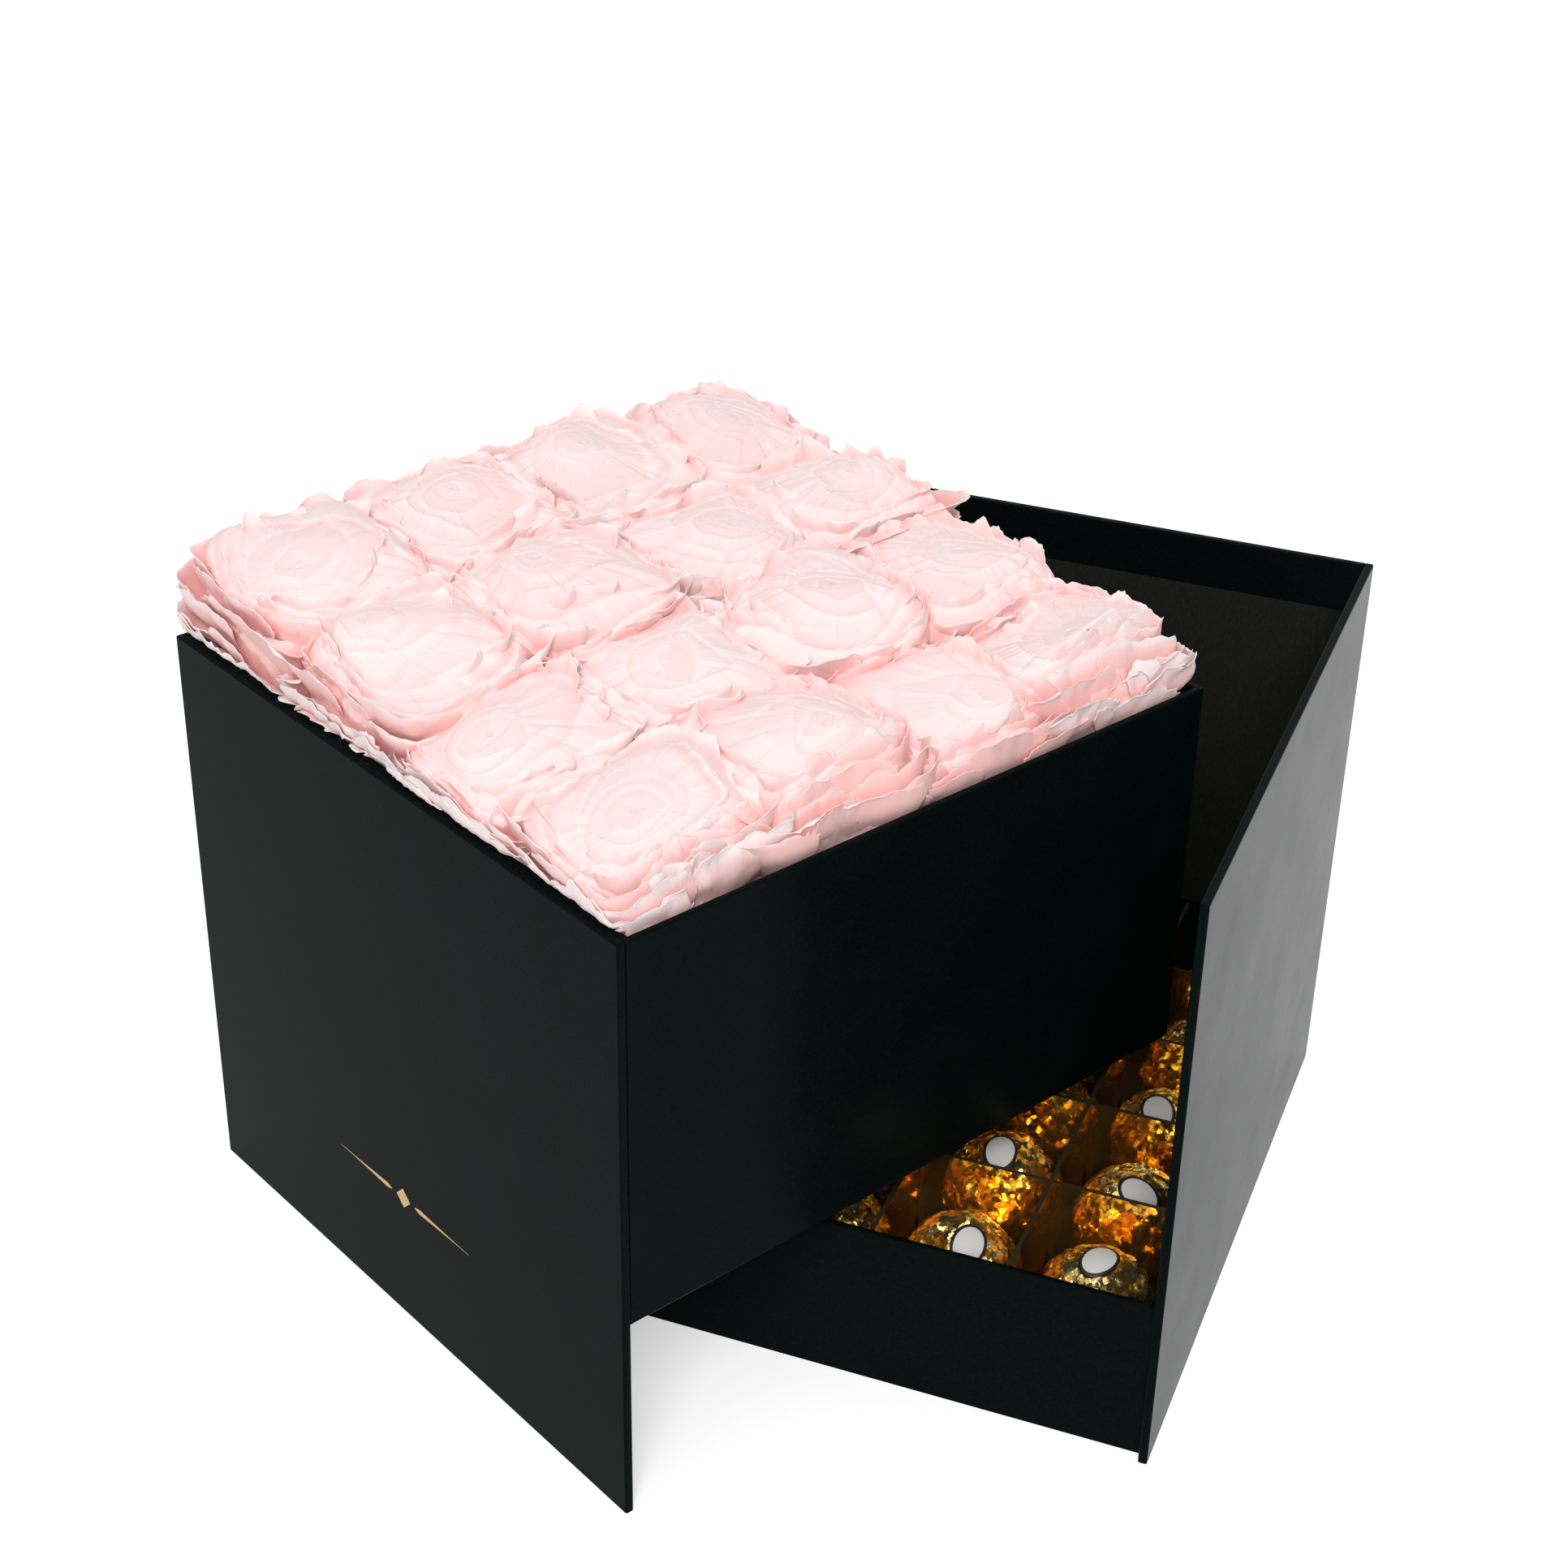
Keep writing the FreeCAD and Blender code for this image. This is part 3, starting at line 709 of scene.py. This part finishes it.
guard = {
    "petals": 24, "across": 43, "along": 14,
    "from": 0.62, "to": 1.14,  # shares of the rose's reach at which the first and last rims stand
    "thick": 0.26 * mm, "torn": 0.035, "crumple": 1.8 * mm, "crumpleSize": 6.5 * mm,
    "pleat": 0.55 * mm, "twist": 0.8 * mm, "gather": 0.8,
    "rightTone": {"rise": 0.9, "outward": 0.7, "tone": 1.0},  # along the right wall: pinker, less ashy
}


def guardPetals(turn, drop, wall, rng):
    # each petal is a cubic arc from its foot to its rim, turned about the rose's axis; inner ones hug the
    # heart, the next flare over the neighbours, and the outermost drop to the tray's rim; the more one
    # flares, the further its rim falls outwards; rims are torn, wavy and pleated; at the tray's walls the
    # outer petals gather towards the wall, by a sine of the angle between
    k, t, each = petalRow(guard["petals"], rng)
    v = np.linspace(0, 1, guard["along"]).reshape(1, -1, 1) ** 0.5
    u = np.linspace(-1, 1, guard["across"]).reshape(1, 1, -1)
    torn = rng.uniform(-1, 1, (guard["petals"], 1, guard["across"])) * guard["torn"] * (0.5 + t)
    tip = each(-0.1, 0.14) * (1 - 0.6 * t) * np.exp(-(u - each(-0.5, 0.5)) ** 2 / 0.04)
    ragged = 0.02 * np.sin(u * each(6, 11) + each(0, phaseEnd)) + torn + np.maximum(tip, 0)
    s = v * (1 - 0.34 * np.abs(u) ** each(2.4, 3.6) + ragged * v ** 8)
    base = (guard["from"] + (guard["to"] - guard["from"]) * t ** 0.5) * each(0.96, 1.04)
    flare = np.clip(smooth(0.1, 0.7, t) * 0.7 + each(-0.25, 0.25), 0, 1)
    low = np.maximum(drop - each(2, 8) * mm, 0)
    top = -domeDrop(np.minimum(base, 0.95)) + each(-1.2, 1.8) * mm
    top = top + (-low - top) * smooth(0.45, 0.95, t)
    shares = [(1 - s) ** 3, 3 * s * (1 - s) ** 2, 3 * s * s * (1 - s), s ** 3]
    radii = [0.25 + 0.1 * t, base - 0.02, base + 0.03 + 0.02 * flare, base + 0.2 * flare]
    heights = [-rose["depth"] + 0 * t, top - 15 * mm]
    heights += [top - (4 - 5 * flare) * mm, top + (2 - 2.6 * flare) * mm]
    share = sum(part * point for part, point in zip(shares, radii))
    height = sum(part * point for part, point in zip(shares, heights))
    wave = np.sin(u * each(1.4, 3.0) * np.pi + each(0, phaseEnd)) * s ** 4 * each(0.6, 1.8) * mm
    bend = np.sqrt((u * each(0.5, 1.2) + s * each(-1.2, 1.2) - each(-0.4, 0.4)) ** 2 + 0.02) - 0.4
    fold = bend * each(-2.2, 2.2) * s ** 2 * mm
    combed = np.abs(np.sin(u * each(6, 12) + s * each(-2, 2) + each(0, phaseEnd))) - foldMean
    pleat = combed * s ** 2 * guard["pleat"]
    share = share + (wave + fold + pleat + u * guard["twist"]) / heart["reach"]
    height = height + 0.7 * wave + 0.5 * fold + 0.4 * pleat
    around = turn + k * rose["golden"] + each(-0.2, 0.2)
    if wall is not None:
        around = around - guard["gather"] * smooth(0.45, 0.75, t) * np.sin(around - wall)
    angle = around + u * each(0.7, 0.95) * (0.4 + 0.6 * np.sqrt(s))
    fields = {"rise": s, "outward": 0.35 + 0.65 * t + 0 * s, "tone": each(0, 1) + 0 * s}
    uv = joined((u + 1) / 2, v) + np.zeros((guard["petals"], 1, 1, 1))
    return share, angle, height, fields, uv


def cellWalls(index):
    # a rose's column and row, and the walls that its cell touches
    column, row, last = index % roseSide, index // roseSide, roseSide - 1
    atWall = {"left": column == 0, "right": column == last, "front": row == 0, "back": row == last}
    return column, row, atWall


def wallAngle(index):
    # the way from a rose to its wall, or to the corner between two; none along the right wall
    atWall = cellWalls(index)[2]
    deep = int(atWall["back"]) - int(atWall["front"])
    across = int(atWall["right"] and deep != 0) - int(atWall["left"])
    return np.arctan2(deep, across) if across or deep else None


def held(x, limit):
    # keeps x below a limit, which it nears exponentially from a short way before it
    over = np.maximum(x - limit + rose["ease"], 0)
    return np.minimum(x, limit - rose["ease"]) + rose["ease"] * (1 - np.exp(-over / rose["ease"]))


def placed(share, angle, height, index, crumple, rng):
    # shares of a rounded square's reach become places in the rose's cell, moved with the heart near the
    # middle, sheared by the lean and rippled; past the tray's inner faces they go only above its rim
    moveX, moveY, rise, leanX, leanY = stances[index]
    column, row, atWall = cellWalls(index)
    reach = {way: roseStep / 2 + (rose["bulge"][way] if atWall[way] else rose["overlap"]) for way in atWall}
    c, s = np.cos(angle), np.sin(angle)
    across = np.abs(c) / np.where(c > 0, reach["right"], reach["left"])
    deep = np.abs(s) / np.where(s > 0, reach["back"], reach["front"])
    square = squareReach(across, deep, rose["heartSquare"] if crumple is None else rose["petalSquare"])
    bumpy = sum(size * np.sin(waves * angle + rng.uniform(0, phaseEnd)) for waves, size in rose["lumps"])
    radius = share * (rose["round"] + (square * (1 + bumpy) - rose["round"]) * smooth(0.45, 1.0, share))
    x, y = radius * c, radius * s
    lean = 1 - 0.85 * smooth(0.65, 1.15, share)
    z = height - (x * np.tan(np.radians(leanX)) - y * np.tan(np.radians(leanY))) * lean
    loose = 1 - smooth(0.2, 1.0, share)
    points = joined(x + moveX * mm * loose, y + moveY * mm * loose, z)
    points = points + threeWays(ripple, points, rose["warpSize"], 5, rng) * rose["warp"]
    if crumple is not None:
        folds = threeWays(creases, points, guard["crumpleSize"], 4, rng) - foldMean
        points = points + folds * (crumple * guard["crumple"])[..., None]
    points[..., 2] += rise * mm
    if atWall["right"]:
        above = np.maximum(points[..., 2] - rimHeight, 0)
        points[..., 0] -= rose["slope"] * above * smooth(0, roseStep / 2, points[..., 0])
    overRim = smooth(rimHeight + 0.3 * mm, rimHeight + 1.5 * mm, points[..., 2])
    waving = ripple(points, rose["spillWave"], 4, default_rng(rose["seed"] + index))
    over = overRim * (rose["spillMean"] + rose["spillSwing"] * waving)
    edge = {}
    for way in atWall:
        edge[way] = roseStep / 2 - rose["clear"] + over * rose["spill"][way] if atWall[way] else 1
    points[..., 0] = -held(-held(points[..., 0], edge["right"]), edge["left"])
    points[..., 1] = -held(-held(points[..., 1], edge["back"]), edge["front"])
    cell = np.array([bedLow[0] + roseStep * (column + 0.5), bedLow[1] + roseStep * (row + 0.5), 0])
    return points + cell


def makeRoses():
    # each rose is one mesh: the heart's rings between two poles, then the leaves of its free petals
    bodyQuads, caps = cappedFaces(heart["rings"] - 2, heart["columns"])
    bodySize = (heart["rings"] - 2) * heart["columns"] + 2
    rows, columns, count = guard["along"], guard["across"], guard["petals"]
    leaf = leafFaces(rows, columns)
    leaves = repeated([leaf], count, rows * columns * 2)[0]
    faces = [np.concatenate([bodyQuads, leaves + bodySize]), caps]
    leafRound = np.tile(np.arange(len(leaf)) < 2 * (rows - 1) * (columns - 1), count)
    rounded = np.concatenate([np.ones(len(bodyQuads), bool), leafRound, np.ones(len(caps), bool)])

    def doubled(grid):
        # the values of a petal's sheet, for both its faces
        return np.repeat(grid[:, None], 2, 1).reshape((-1,) + grid.shape[3:])

    for index, name in enumerate(roseNames):
        rng = default_rng(rose["seed"] + index)
        turn = rng.uniform(0, phaseEnd)
        share, angle, height, fields, uv = heartBody(turn, rng)
        drop = stances[index][2] * mm - rimHeight
        wall = wallAngle(index)
        leafShare, leafAngle, leafHeight, leafFields, leafUv = guardPetals(turn, drop, wall, rng)
        seed = rng.integers(10 ** 6)
        body = placed(share, angle, height, index, None, default_rng(seed))
        if cellWalls(index)[2]["right"] and wall is None:
            leafFields = {key: values * guard["rightTone"][key] for key, values in leafFields.items()}
        rise = leafFields["rise"]
        crumple = rise ** 2 * (0.8 + 1.6 * smooth(0.7, 0.95, leafFields["outward"]))
        sheet = placed(leafShare, leafAngle, leafHeight, index, crumple, default_rng(seed))
        thick = guard["thick"] * (1.15 - 0.7 * rise ** 3)
        leafSheets = leafPoints(sheet, thick[..., None])
        points = turned(np.concatenate([poled(body), leafSheets.reshape(-1, 3)]), openTurn)
        values = {key: np.concatenate([poled(fields[key]), doubled(leafFields[key])]) for key in fields}
        places = np.concatenate([poled(uv), doubled(leafUv)])
        addPiece(name + "_bloom", points, faces, finishes["petal"], "flower_box", [name],
                 values, places, rounded)


makeRoses()
print("roses opened,", len(roseNames))

# Chocolates: foil balls with a flat foot, gathered below, crumpled all over and smooth under the seal

ball = {
    "around": 84, "down": 46,
    "full": 1.05,  # against the CAD ball, before the creases take some away
    "crumple": 2.2 * mm,
    # how far the creases wander, and the sizes of all, as shares of the radius
    "bend": 0.22, "bendSize": 0.9, "bigSize": 0.62, "fineSize": 0.27,
    "level": 0.62,  # height of the creases at which they neither dent nor raise the ball
    "pleats": 9, "footCrease": 0.25 * mm,
    "tilt": np.radians(13),  # towards the front
    "sway": np.radians(12), "seed": 71,
}
seal = {
    "long": 6.7 * mm, "short": 4.8 * mm, "lift": 0.12 * mm, "thick": 0.1 * mm,
    "rings": 10, "around": 36,
}
rowNames = sorted(name for name in nodes if name.startswith("chocolate_row"))


def foilBall(foot, radius, turn, rng):
    # a sphere of two angles about a tilted pole, creased inwards everywhere but at the pole, and
    # flattened where it would sink below its foot
    polar = np.linspace(0, np.pi, ball["down"])[1:-1].reshape(-1, 1)
    around = circle(ball["around"]).reshape(1, -1)
    out = np.sin(polar)
    way = joined(out * np.cos(around), out * np.sin(around), np.cos(polar))
    way = np.concatenate([[[0, 0, 1.0]], way.reshape(-1, 3), [[0, 0, -1.0]]])
    away = np.arccos(np.clip(way[:, 2], -1, 1))
    bent = way + ball["bend"] * threeWays(ripple, way, ball["bendSize"], 6, rng)
    big = creases(bent, ball["bigSize"], 5, rng)
    fine = creases(bent, ball["fineSize"], 6, rng)
    waving = np.arctan2(way[:, 1], way[:, 0]) * ball["pleats"] + 4 * ripple(way, 1.4, 4, rng)
    pleat = np.abs(np.sin(waving)) * 0.5 * smooth(1.4, 2.6, away)
    depth = (ball["level"] - big) * 1.5 + (ball["level"] - fine) * 1.2 + pleat
    calm = 0.25 + 0.75 * smooth(0.35, 0.7, away)
    size = radius * ball["full"] - ball["crumple"] * (0.2 + depth * 0.75) * calm
    points = (way * size[:, None]) @ turn.T
    points[:, 2] = np.maximum(points[:, 2], foot + ball["footCrease"] * (fine - 0.5))
    return points


def sealPatch(radius, turn, spin):
    # an oval disc of rings, laid on the sphere round the pole; then a second sheet above it
    reach = np.linspace(0, 1, seal["rings"] + 1)[1:].reshape(-1, 1)
    around = circle(seal["around"]).reshape(1, -1)
    x = reach * np.cos(around) * seal["long"]
    y = reach * np.sin(around) * seal["short"]
    x, y = x * np.cos(spin) - y * np.sin(spin), x * np.sin(spin) + y * np.cos(spin)
    flat = np.concatenate([np.zeros((1, 2)), joined(x, y).reshape(-1, 2)])
    radius = radius * ball["full"]
    bend = np.sqrt(radius ** 2 - (flat ** 2).sum(1))
    way = np.concatenate([flat, bend[:, None]], 1) / radius
    low = way * (radius + seal["lift"])
    high = way * (radius + seal["lift"] + seal["thick"])
    spread = np.concatenate([[0], np.repeat(reach.ravel(), seal["around"])])
    return np.concatenate([high, low]) @ turn.T, np.concatenate([spread, spread])


def sealFaces():
    # two sheets of rings about a middle point, the lower one turned over, and a strip round their rims
    rings, columns = seal["rings"], seal["around"]
    sheet = gridFaces(rings, columns, ring=True) + 1
    ring = np.arange(columns)
    after = (ring + 1) % columns
    fan = joined(0, ring + 1, after + 1)
    count = rings * columns + 1
    rim = count - columns
    edge = joined(ring + rim, ring + rim + count, after + rim + count, after + rim)
    quads = np.concatenate([sheet[:, ::-1], sheet + count, edge])
    return quads, np.concatenate([fan, fan[:, ::-1] + count])


def makeChocolates():
    # a ball and a seal at even steps along each CAD row, each tilted at random about a lean to the front
    ballFaces = cappedFaces(ball["down"] - 2, ball["around"])
    low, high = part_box(rowNames[0])
    radius = (high.y - low.y) / 2
    step = (high.x - low.x - 2 * radius) / (len(rowNames) - 1)
    rise = high.z - radius
    for number, name in enumerate(rowNames):
        rng = default_rng(ball["seed"] + number)
        balls, patches, reaches = [], [], []
        deep = (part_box(name)[0].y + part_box(name)[1].y) / 2
        for column in range(len(rowNames)):
            forward = ball["tilt"] + rng.normal() * ball["sway"]
            aside = rng.normal() * ball["sway"]
            spin = rng.uniform(0, phaseEnd)
            turn = np.array(Matrix.Rotation(aside, 3, "Y") @ Matrix.Rotation(forward, 3, "X"))
            place = np.array([low.x + radius + step * column, deep, rise])
            balls.append(foilBall(low.z - rise, radius, turn, rng) + place)
            points, reach = sealPatch(radius, turn, spin)
            patches.append(points + place)
            reaches.append(reach)
        faces = repeated(ballFaces, len(balls), len(balls[0]))
        addPiece(name + "_foil", np.array(balls), faces, finishes["foil"], "base", [name])
        faces = repeated(sealFaces(), len(patches), len(patches[0]))
        addPiece("seal_row_%d" % (number + 1), np.array(patches), faces, finishes["seal"], "base",
                 (), {"reach": np.array(reaches)})


makeChocolates()
print("chocolates wrapped")

# Pads: a cushion of crumpled tissue under each chocolate, with a hollow for it

pad = {
    "rings": 26, "around": 56, "square": 6.0,
    "topEnd": 0.5, "sideEnd": 0.85,  # shares of the rings at which the top and the sides end
    "lip": 2.0 * mm, "pullIn": 0.05, "bulge": 0.06,
    "crumple": 2.4 * mm, "crumpleSize": 7 * mm, "fill": 0.45, "seed": 5,
}


def padBody(half, low, high, rng):
    # a profile of top, side and bottom, turned about the middle as a rounded square; the top rises outwards
    # from a flat hollow, the side bulges as a sine, and both are creased
    p = np.linspace(0, 1, pad["rings"]).reshape(-1, 1)
    angle = circle(pad["around"]).reshape(1, -1)
    inward = ramp(0, pad["topEnd"], p)
    down = ramp(pad["topEnd"], pad["sideEnd"], p)
    under = ramp(pad["sideEnd"], 1, p)
    share = ((1 - pad["bulge"]) * inward + pad["bulge"] * np.sin(np.pi * down)) * (1 - under)
    square = squareReach(np.abs(np.cos(angle)), np.abs(np.sin(angle)), pad["square"])
    square = square * (1 - pad["pullIn"] * np.cos(2 * angle) ** 2)
    radius = share * square * half
    height = high + pad["lip"] * smooth(0.35, 1.0, inward) * (1 - under)
    height = height + (low - height) * down
    points = joined(radius * np.cos(angle), radius * np.sin(angle), height)
    folds = threeWays(creases, points, pad["crumpleSize"], 4, rng) - foldMean
    points = points + folds * (pad["crumple"] * smooth(0.35, 0.6, inward) * (1 - under))[..., None]
    points[..., :2] = np.clip(points[..., :2], -half, half)
    points[..., 2] = np.maximum(points[..., 2], low)
    return poled(points)


def makePads():
    # one pad under each chocolate, as wide as the first one's distance from the CAD pads' edge
    low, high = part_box("cell_pads")
    first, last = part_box("chocolate_row_1"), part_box("chocolate_row_5")
    radius = (first[1].y - first[0].y) / 2
    count = len(rowNames)
    middleX = np.linspace(first[0].x + radius, first[1].x - radius, count)
    middleY = np.linspace((first[0].y + first[1].y) / 2, (last[0].y + last[1].y) / 2, count)
    half = min(middleX) - low.x
    rng = default_rng(pad["seed"])
    bodies = [padBody(half, low.z, high.z, rng) + np.array([x, y, 0]) for y in middleY for x in middleX]
    faces = repeated(cappedFaces(pad["rings"] - 2, pad["around"]), len(bodies), len(bodies[0]))
    piece = addPiece("tissue_pads", np.array(bodies), faces, finishes["tissue"], "base",
                     ["cell_pads"])


makePads()
print("pads laid")

# Hinge strip: book cloth from the back panel round the corner to the left panel, bent about the hinge to
# fit the box open

strip = {
    "leaf": 14 * mm,
    "reach": 1.475 * mm,  # from the hinge's line to the cloth's middle
    "thick": 0.25 * mm, "leafSteps": 15, "bendSteps": 12, "rows": 60,
    "ripple": 0.04 * mm, "rippleSize": 24 * mm, "seed": 3,
}


def makeStrip():
    # a straight leaf, an arc about the hinge and a second leaf along the arc's end, drawn up the hinge
    low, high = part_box("hinge_cloth")
    leaf, reach = strip["leaf"], strip["reach"]
    bend = np.pi / 2 + openTurn
    arc = reach * bend
    parts = [np.linspace(0, leaf, strip["leafSteps"], endpoint=False)]
    parts.append(leaf + np.linspace(0, arc, strip["bendSteps"], endpoint=False))
    parts.append(leaf + arc + np.linspace(0, leaf, strip["leafSteps"]))
    walked = np.concatenate(parts).reshape(1, -1)
    heading = np.pi / 2 + np.clip((walked - leaf) / reach, 0, bend)
    before = np.maximum(leaf - walked, 0)
    after = np.maximum(walked - leaf - arc, 0)
    x = reach * np.cos(heading) + before - np.sin(heading) * after
    y = reach * np.sin(heading) + np.cos(heading) * after
    z = np.linspace(low.z, high.z, strip["rows"]).reshape(-1, 1)
    sheet = joined(hinge[0] + x, hinge[1] + y, z)
    out = joined(np.cos(heading), np.sin(heading), 0 * z)
    rng = default_rng(strip["seed"])
    sheet = sheet + out * (1 + ripple(sheet, strip["rippleSize"], 5, rng))[..., None] * strip["ripple"]
    points = leafPoints(sheet[None], strip["thick"])
    uv = joined(walked, z)
    faces = [leafFaces(strip["rows"], walked.size)]
    piece = addPiece("hinge_strip", points, faces, finishes["cloth"], None, ["hinge_cloth"],
                     uv=np.concatenate([uv, uv]))
    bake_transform(piece)


makeStrip()
print("hinge strip folded")

# Ornament stamped on the front panel: a swelled rule, parted by a lozenge

mark = {
    "height": 42 * mm,
    "from": 5.5 * mm, "to": 31 * mm,  # where each half of the rule starts and ends, from the middle
    "swell": 0.85 * mm, "lozenge": 3.2 * mm, "thick": 0.06 * mm, "gap": 0.02 * mm,
    "steps": 41, "rows": 7,
}


def makeOrnament():
    # thin plates over their length and height: a half rule's height falls as a power along it, and the
    # lozenge's falls evenly both ways
    a = np.linspace(0, 1, mark["steps"]).reshape(1, -1)
    b = np.linspace(-1, 1, mark["rows"]).reshape(-1, 1)
    along = mark["from"] + (mark["to"] - mark["from"]) * a
    rule = mark["swell"] * (0.06 + (1 - a) ** 1.6 * smooth(-0.02, 0.1, a))
    across = 2 * a - 1
    tall = (1.02 - np.abs(across)) * mark["lozenge"]
    plates = ((-along[:, ::-1], rule[:, ::-1]), (across * mark["lozenge"], tall), (along, rule))
    flat = np.stack([joined(x, b * half) for x, half in plates])
    low, high = shutBox("front_panel")
    deep = low[1] - mark["gap"] - mark["thick"] / 2
    x = (low[0] + high[0]) / 2 + flat[..., 0]
    sheet = joined(x, deep, mark["height"] + flat[..., 1])
    points = turned(leafPoints(sheet, mark["thick"]), openTurn)
    leaf = leafFaces(mark["rows"], mark["steps"])
    faces = repeated([leaf], len(flat), mark["rows"] * mark["steps"] * 2)
    addPiece("front_ornament", points, faces, finishes["stamp"], "flower_box",
             rounded=np.zeros(len(faces[0]), bool))


makeOrnament()
print("ornament stamped")

# Camera where the photograph was taken from: turned left, tipped down and rolled by these degrees
view = {
    "place": (0.19764, -0.63544, 0.51622),
    "left": 20.84, "down": 30.14, "roll": 1.14,
    "lens": 62.8, "sensor": 36, "near": 0.01,
}


def turnAbout(axis, degrees):
    # a rotation about an axis
    return Matrix.Rotation(np.radians(degrees), 4, axis)


camera = newObject("camera", bpy.data.cameras.new("camera"))
aim = turnAbout("Z", view["left"]) @ turnAbout("X", 90 - view["down"]) @ turnAbout("Z", view["roll"])
camera.matrix_world = Matrix.Translation(view["place"]) @ aim
camera.data.lens = view["lens"]
camera.data.sensor_width = view["sensor"]
camera.data.clip_start = view["near"]
bpy.context.scene.camera = camera

# Studio: a pale floor, an even sky and two broad lamps
studio = {
    "floorSize": 12.0,
    "floor": rgb(0.86, 0.86, 0.86),
    "speck": rgb(0.8, 0.8, 0.8),
    "grain": 1.5 * mm,
    "floorGlow": 0.48,  # what the camera adds to the floor to make it white
    "sky": rgb(1.0, 1.0, 1.0),
    "skyStrength": 0.60,
    "lamps": (  # name, place, width and power
        ("front_lamp", (0.75, -2.5, 2.4), 1.5, 63.0),
        ("top_lamp", (-0.3, 0.2, 1.7), 1.4, 1.0),
    ),
}


def looking(start):
    # 1 for rays that come from the camera or from a glossy surface, and 0 for others
    rays = [start.node("LightPath", None, None, ray) for ray in ("Is Camera Ray", "Is Glossy Ray")]
    return start.sums("MAXIMUM", *rays)


def makeStudio():
    # the floor glows, and the sky is at full strength, for rays that look at them; the lamps face the part
    finish, place = newFinish("floor_card")
    grain = place.noise(studio["grain"], 2.0)
    surfaced(finish, {
        "Base Color": (grain * 0.1).mixed(studio["floor"], studio["speck"]),
        "Roughness": 0.8 + grain * 0.1,
        "Specular IOR Level": 0.1,
        "Emission Color": looking(place) * studio["floorGlow"],
        "Emission Strength": 1.0,
    })
    half = studio["floorSize"] / 2
    corners = [(-half, -half, 0), (half, -half, 0), (half, half, 0), (-half, half, 0)]
    mesh = bpy.data.meshes.new("floor")
    mesh.from_pydata(corners, [], [(0, 1, 2, 3)])
    mesh.materials.append(finish)
    newObject("floor", mesh)
    world = bpy.data.worlds.new("sky")
    world.use_nodes = True
    world.node_tree.nodes.clear()
    start = Wire(world.node_tree)
    strength = looking(start) * (1 - studio["skyStrength"]) + studio["skyStrength"]
    sky = start.node("Background", None, {"Color": studio["sky"], "Strength": strength})
    start.node("OutputWorld", None, {"Surface": sky})
    bpy.context.scene.world = world
    for name, spot, width, power in studio["lamps"]:
        lamp = bpy.data.lights.new(name, "AREA")
        lamp.shape = "DISK"
        lamp.size = width
        lamp.energy = power
        stand = newObject(name, lamp)
        stand.location = spot
        stand.rotation_euler = (-Vector(spot)).to_track_quat("-Z", "Y").to_euler()
    bpy.context.scene.view_settings.view_transform = "Standard"


makeStudio()
print("studio lit")
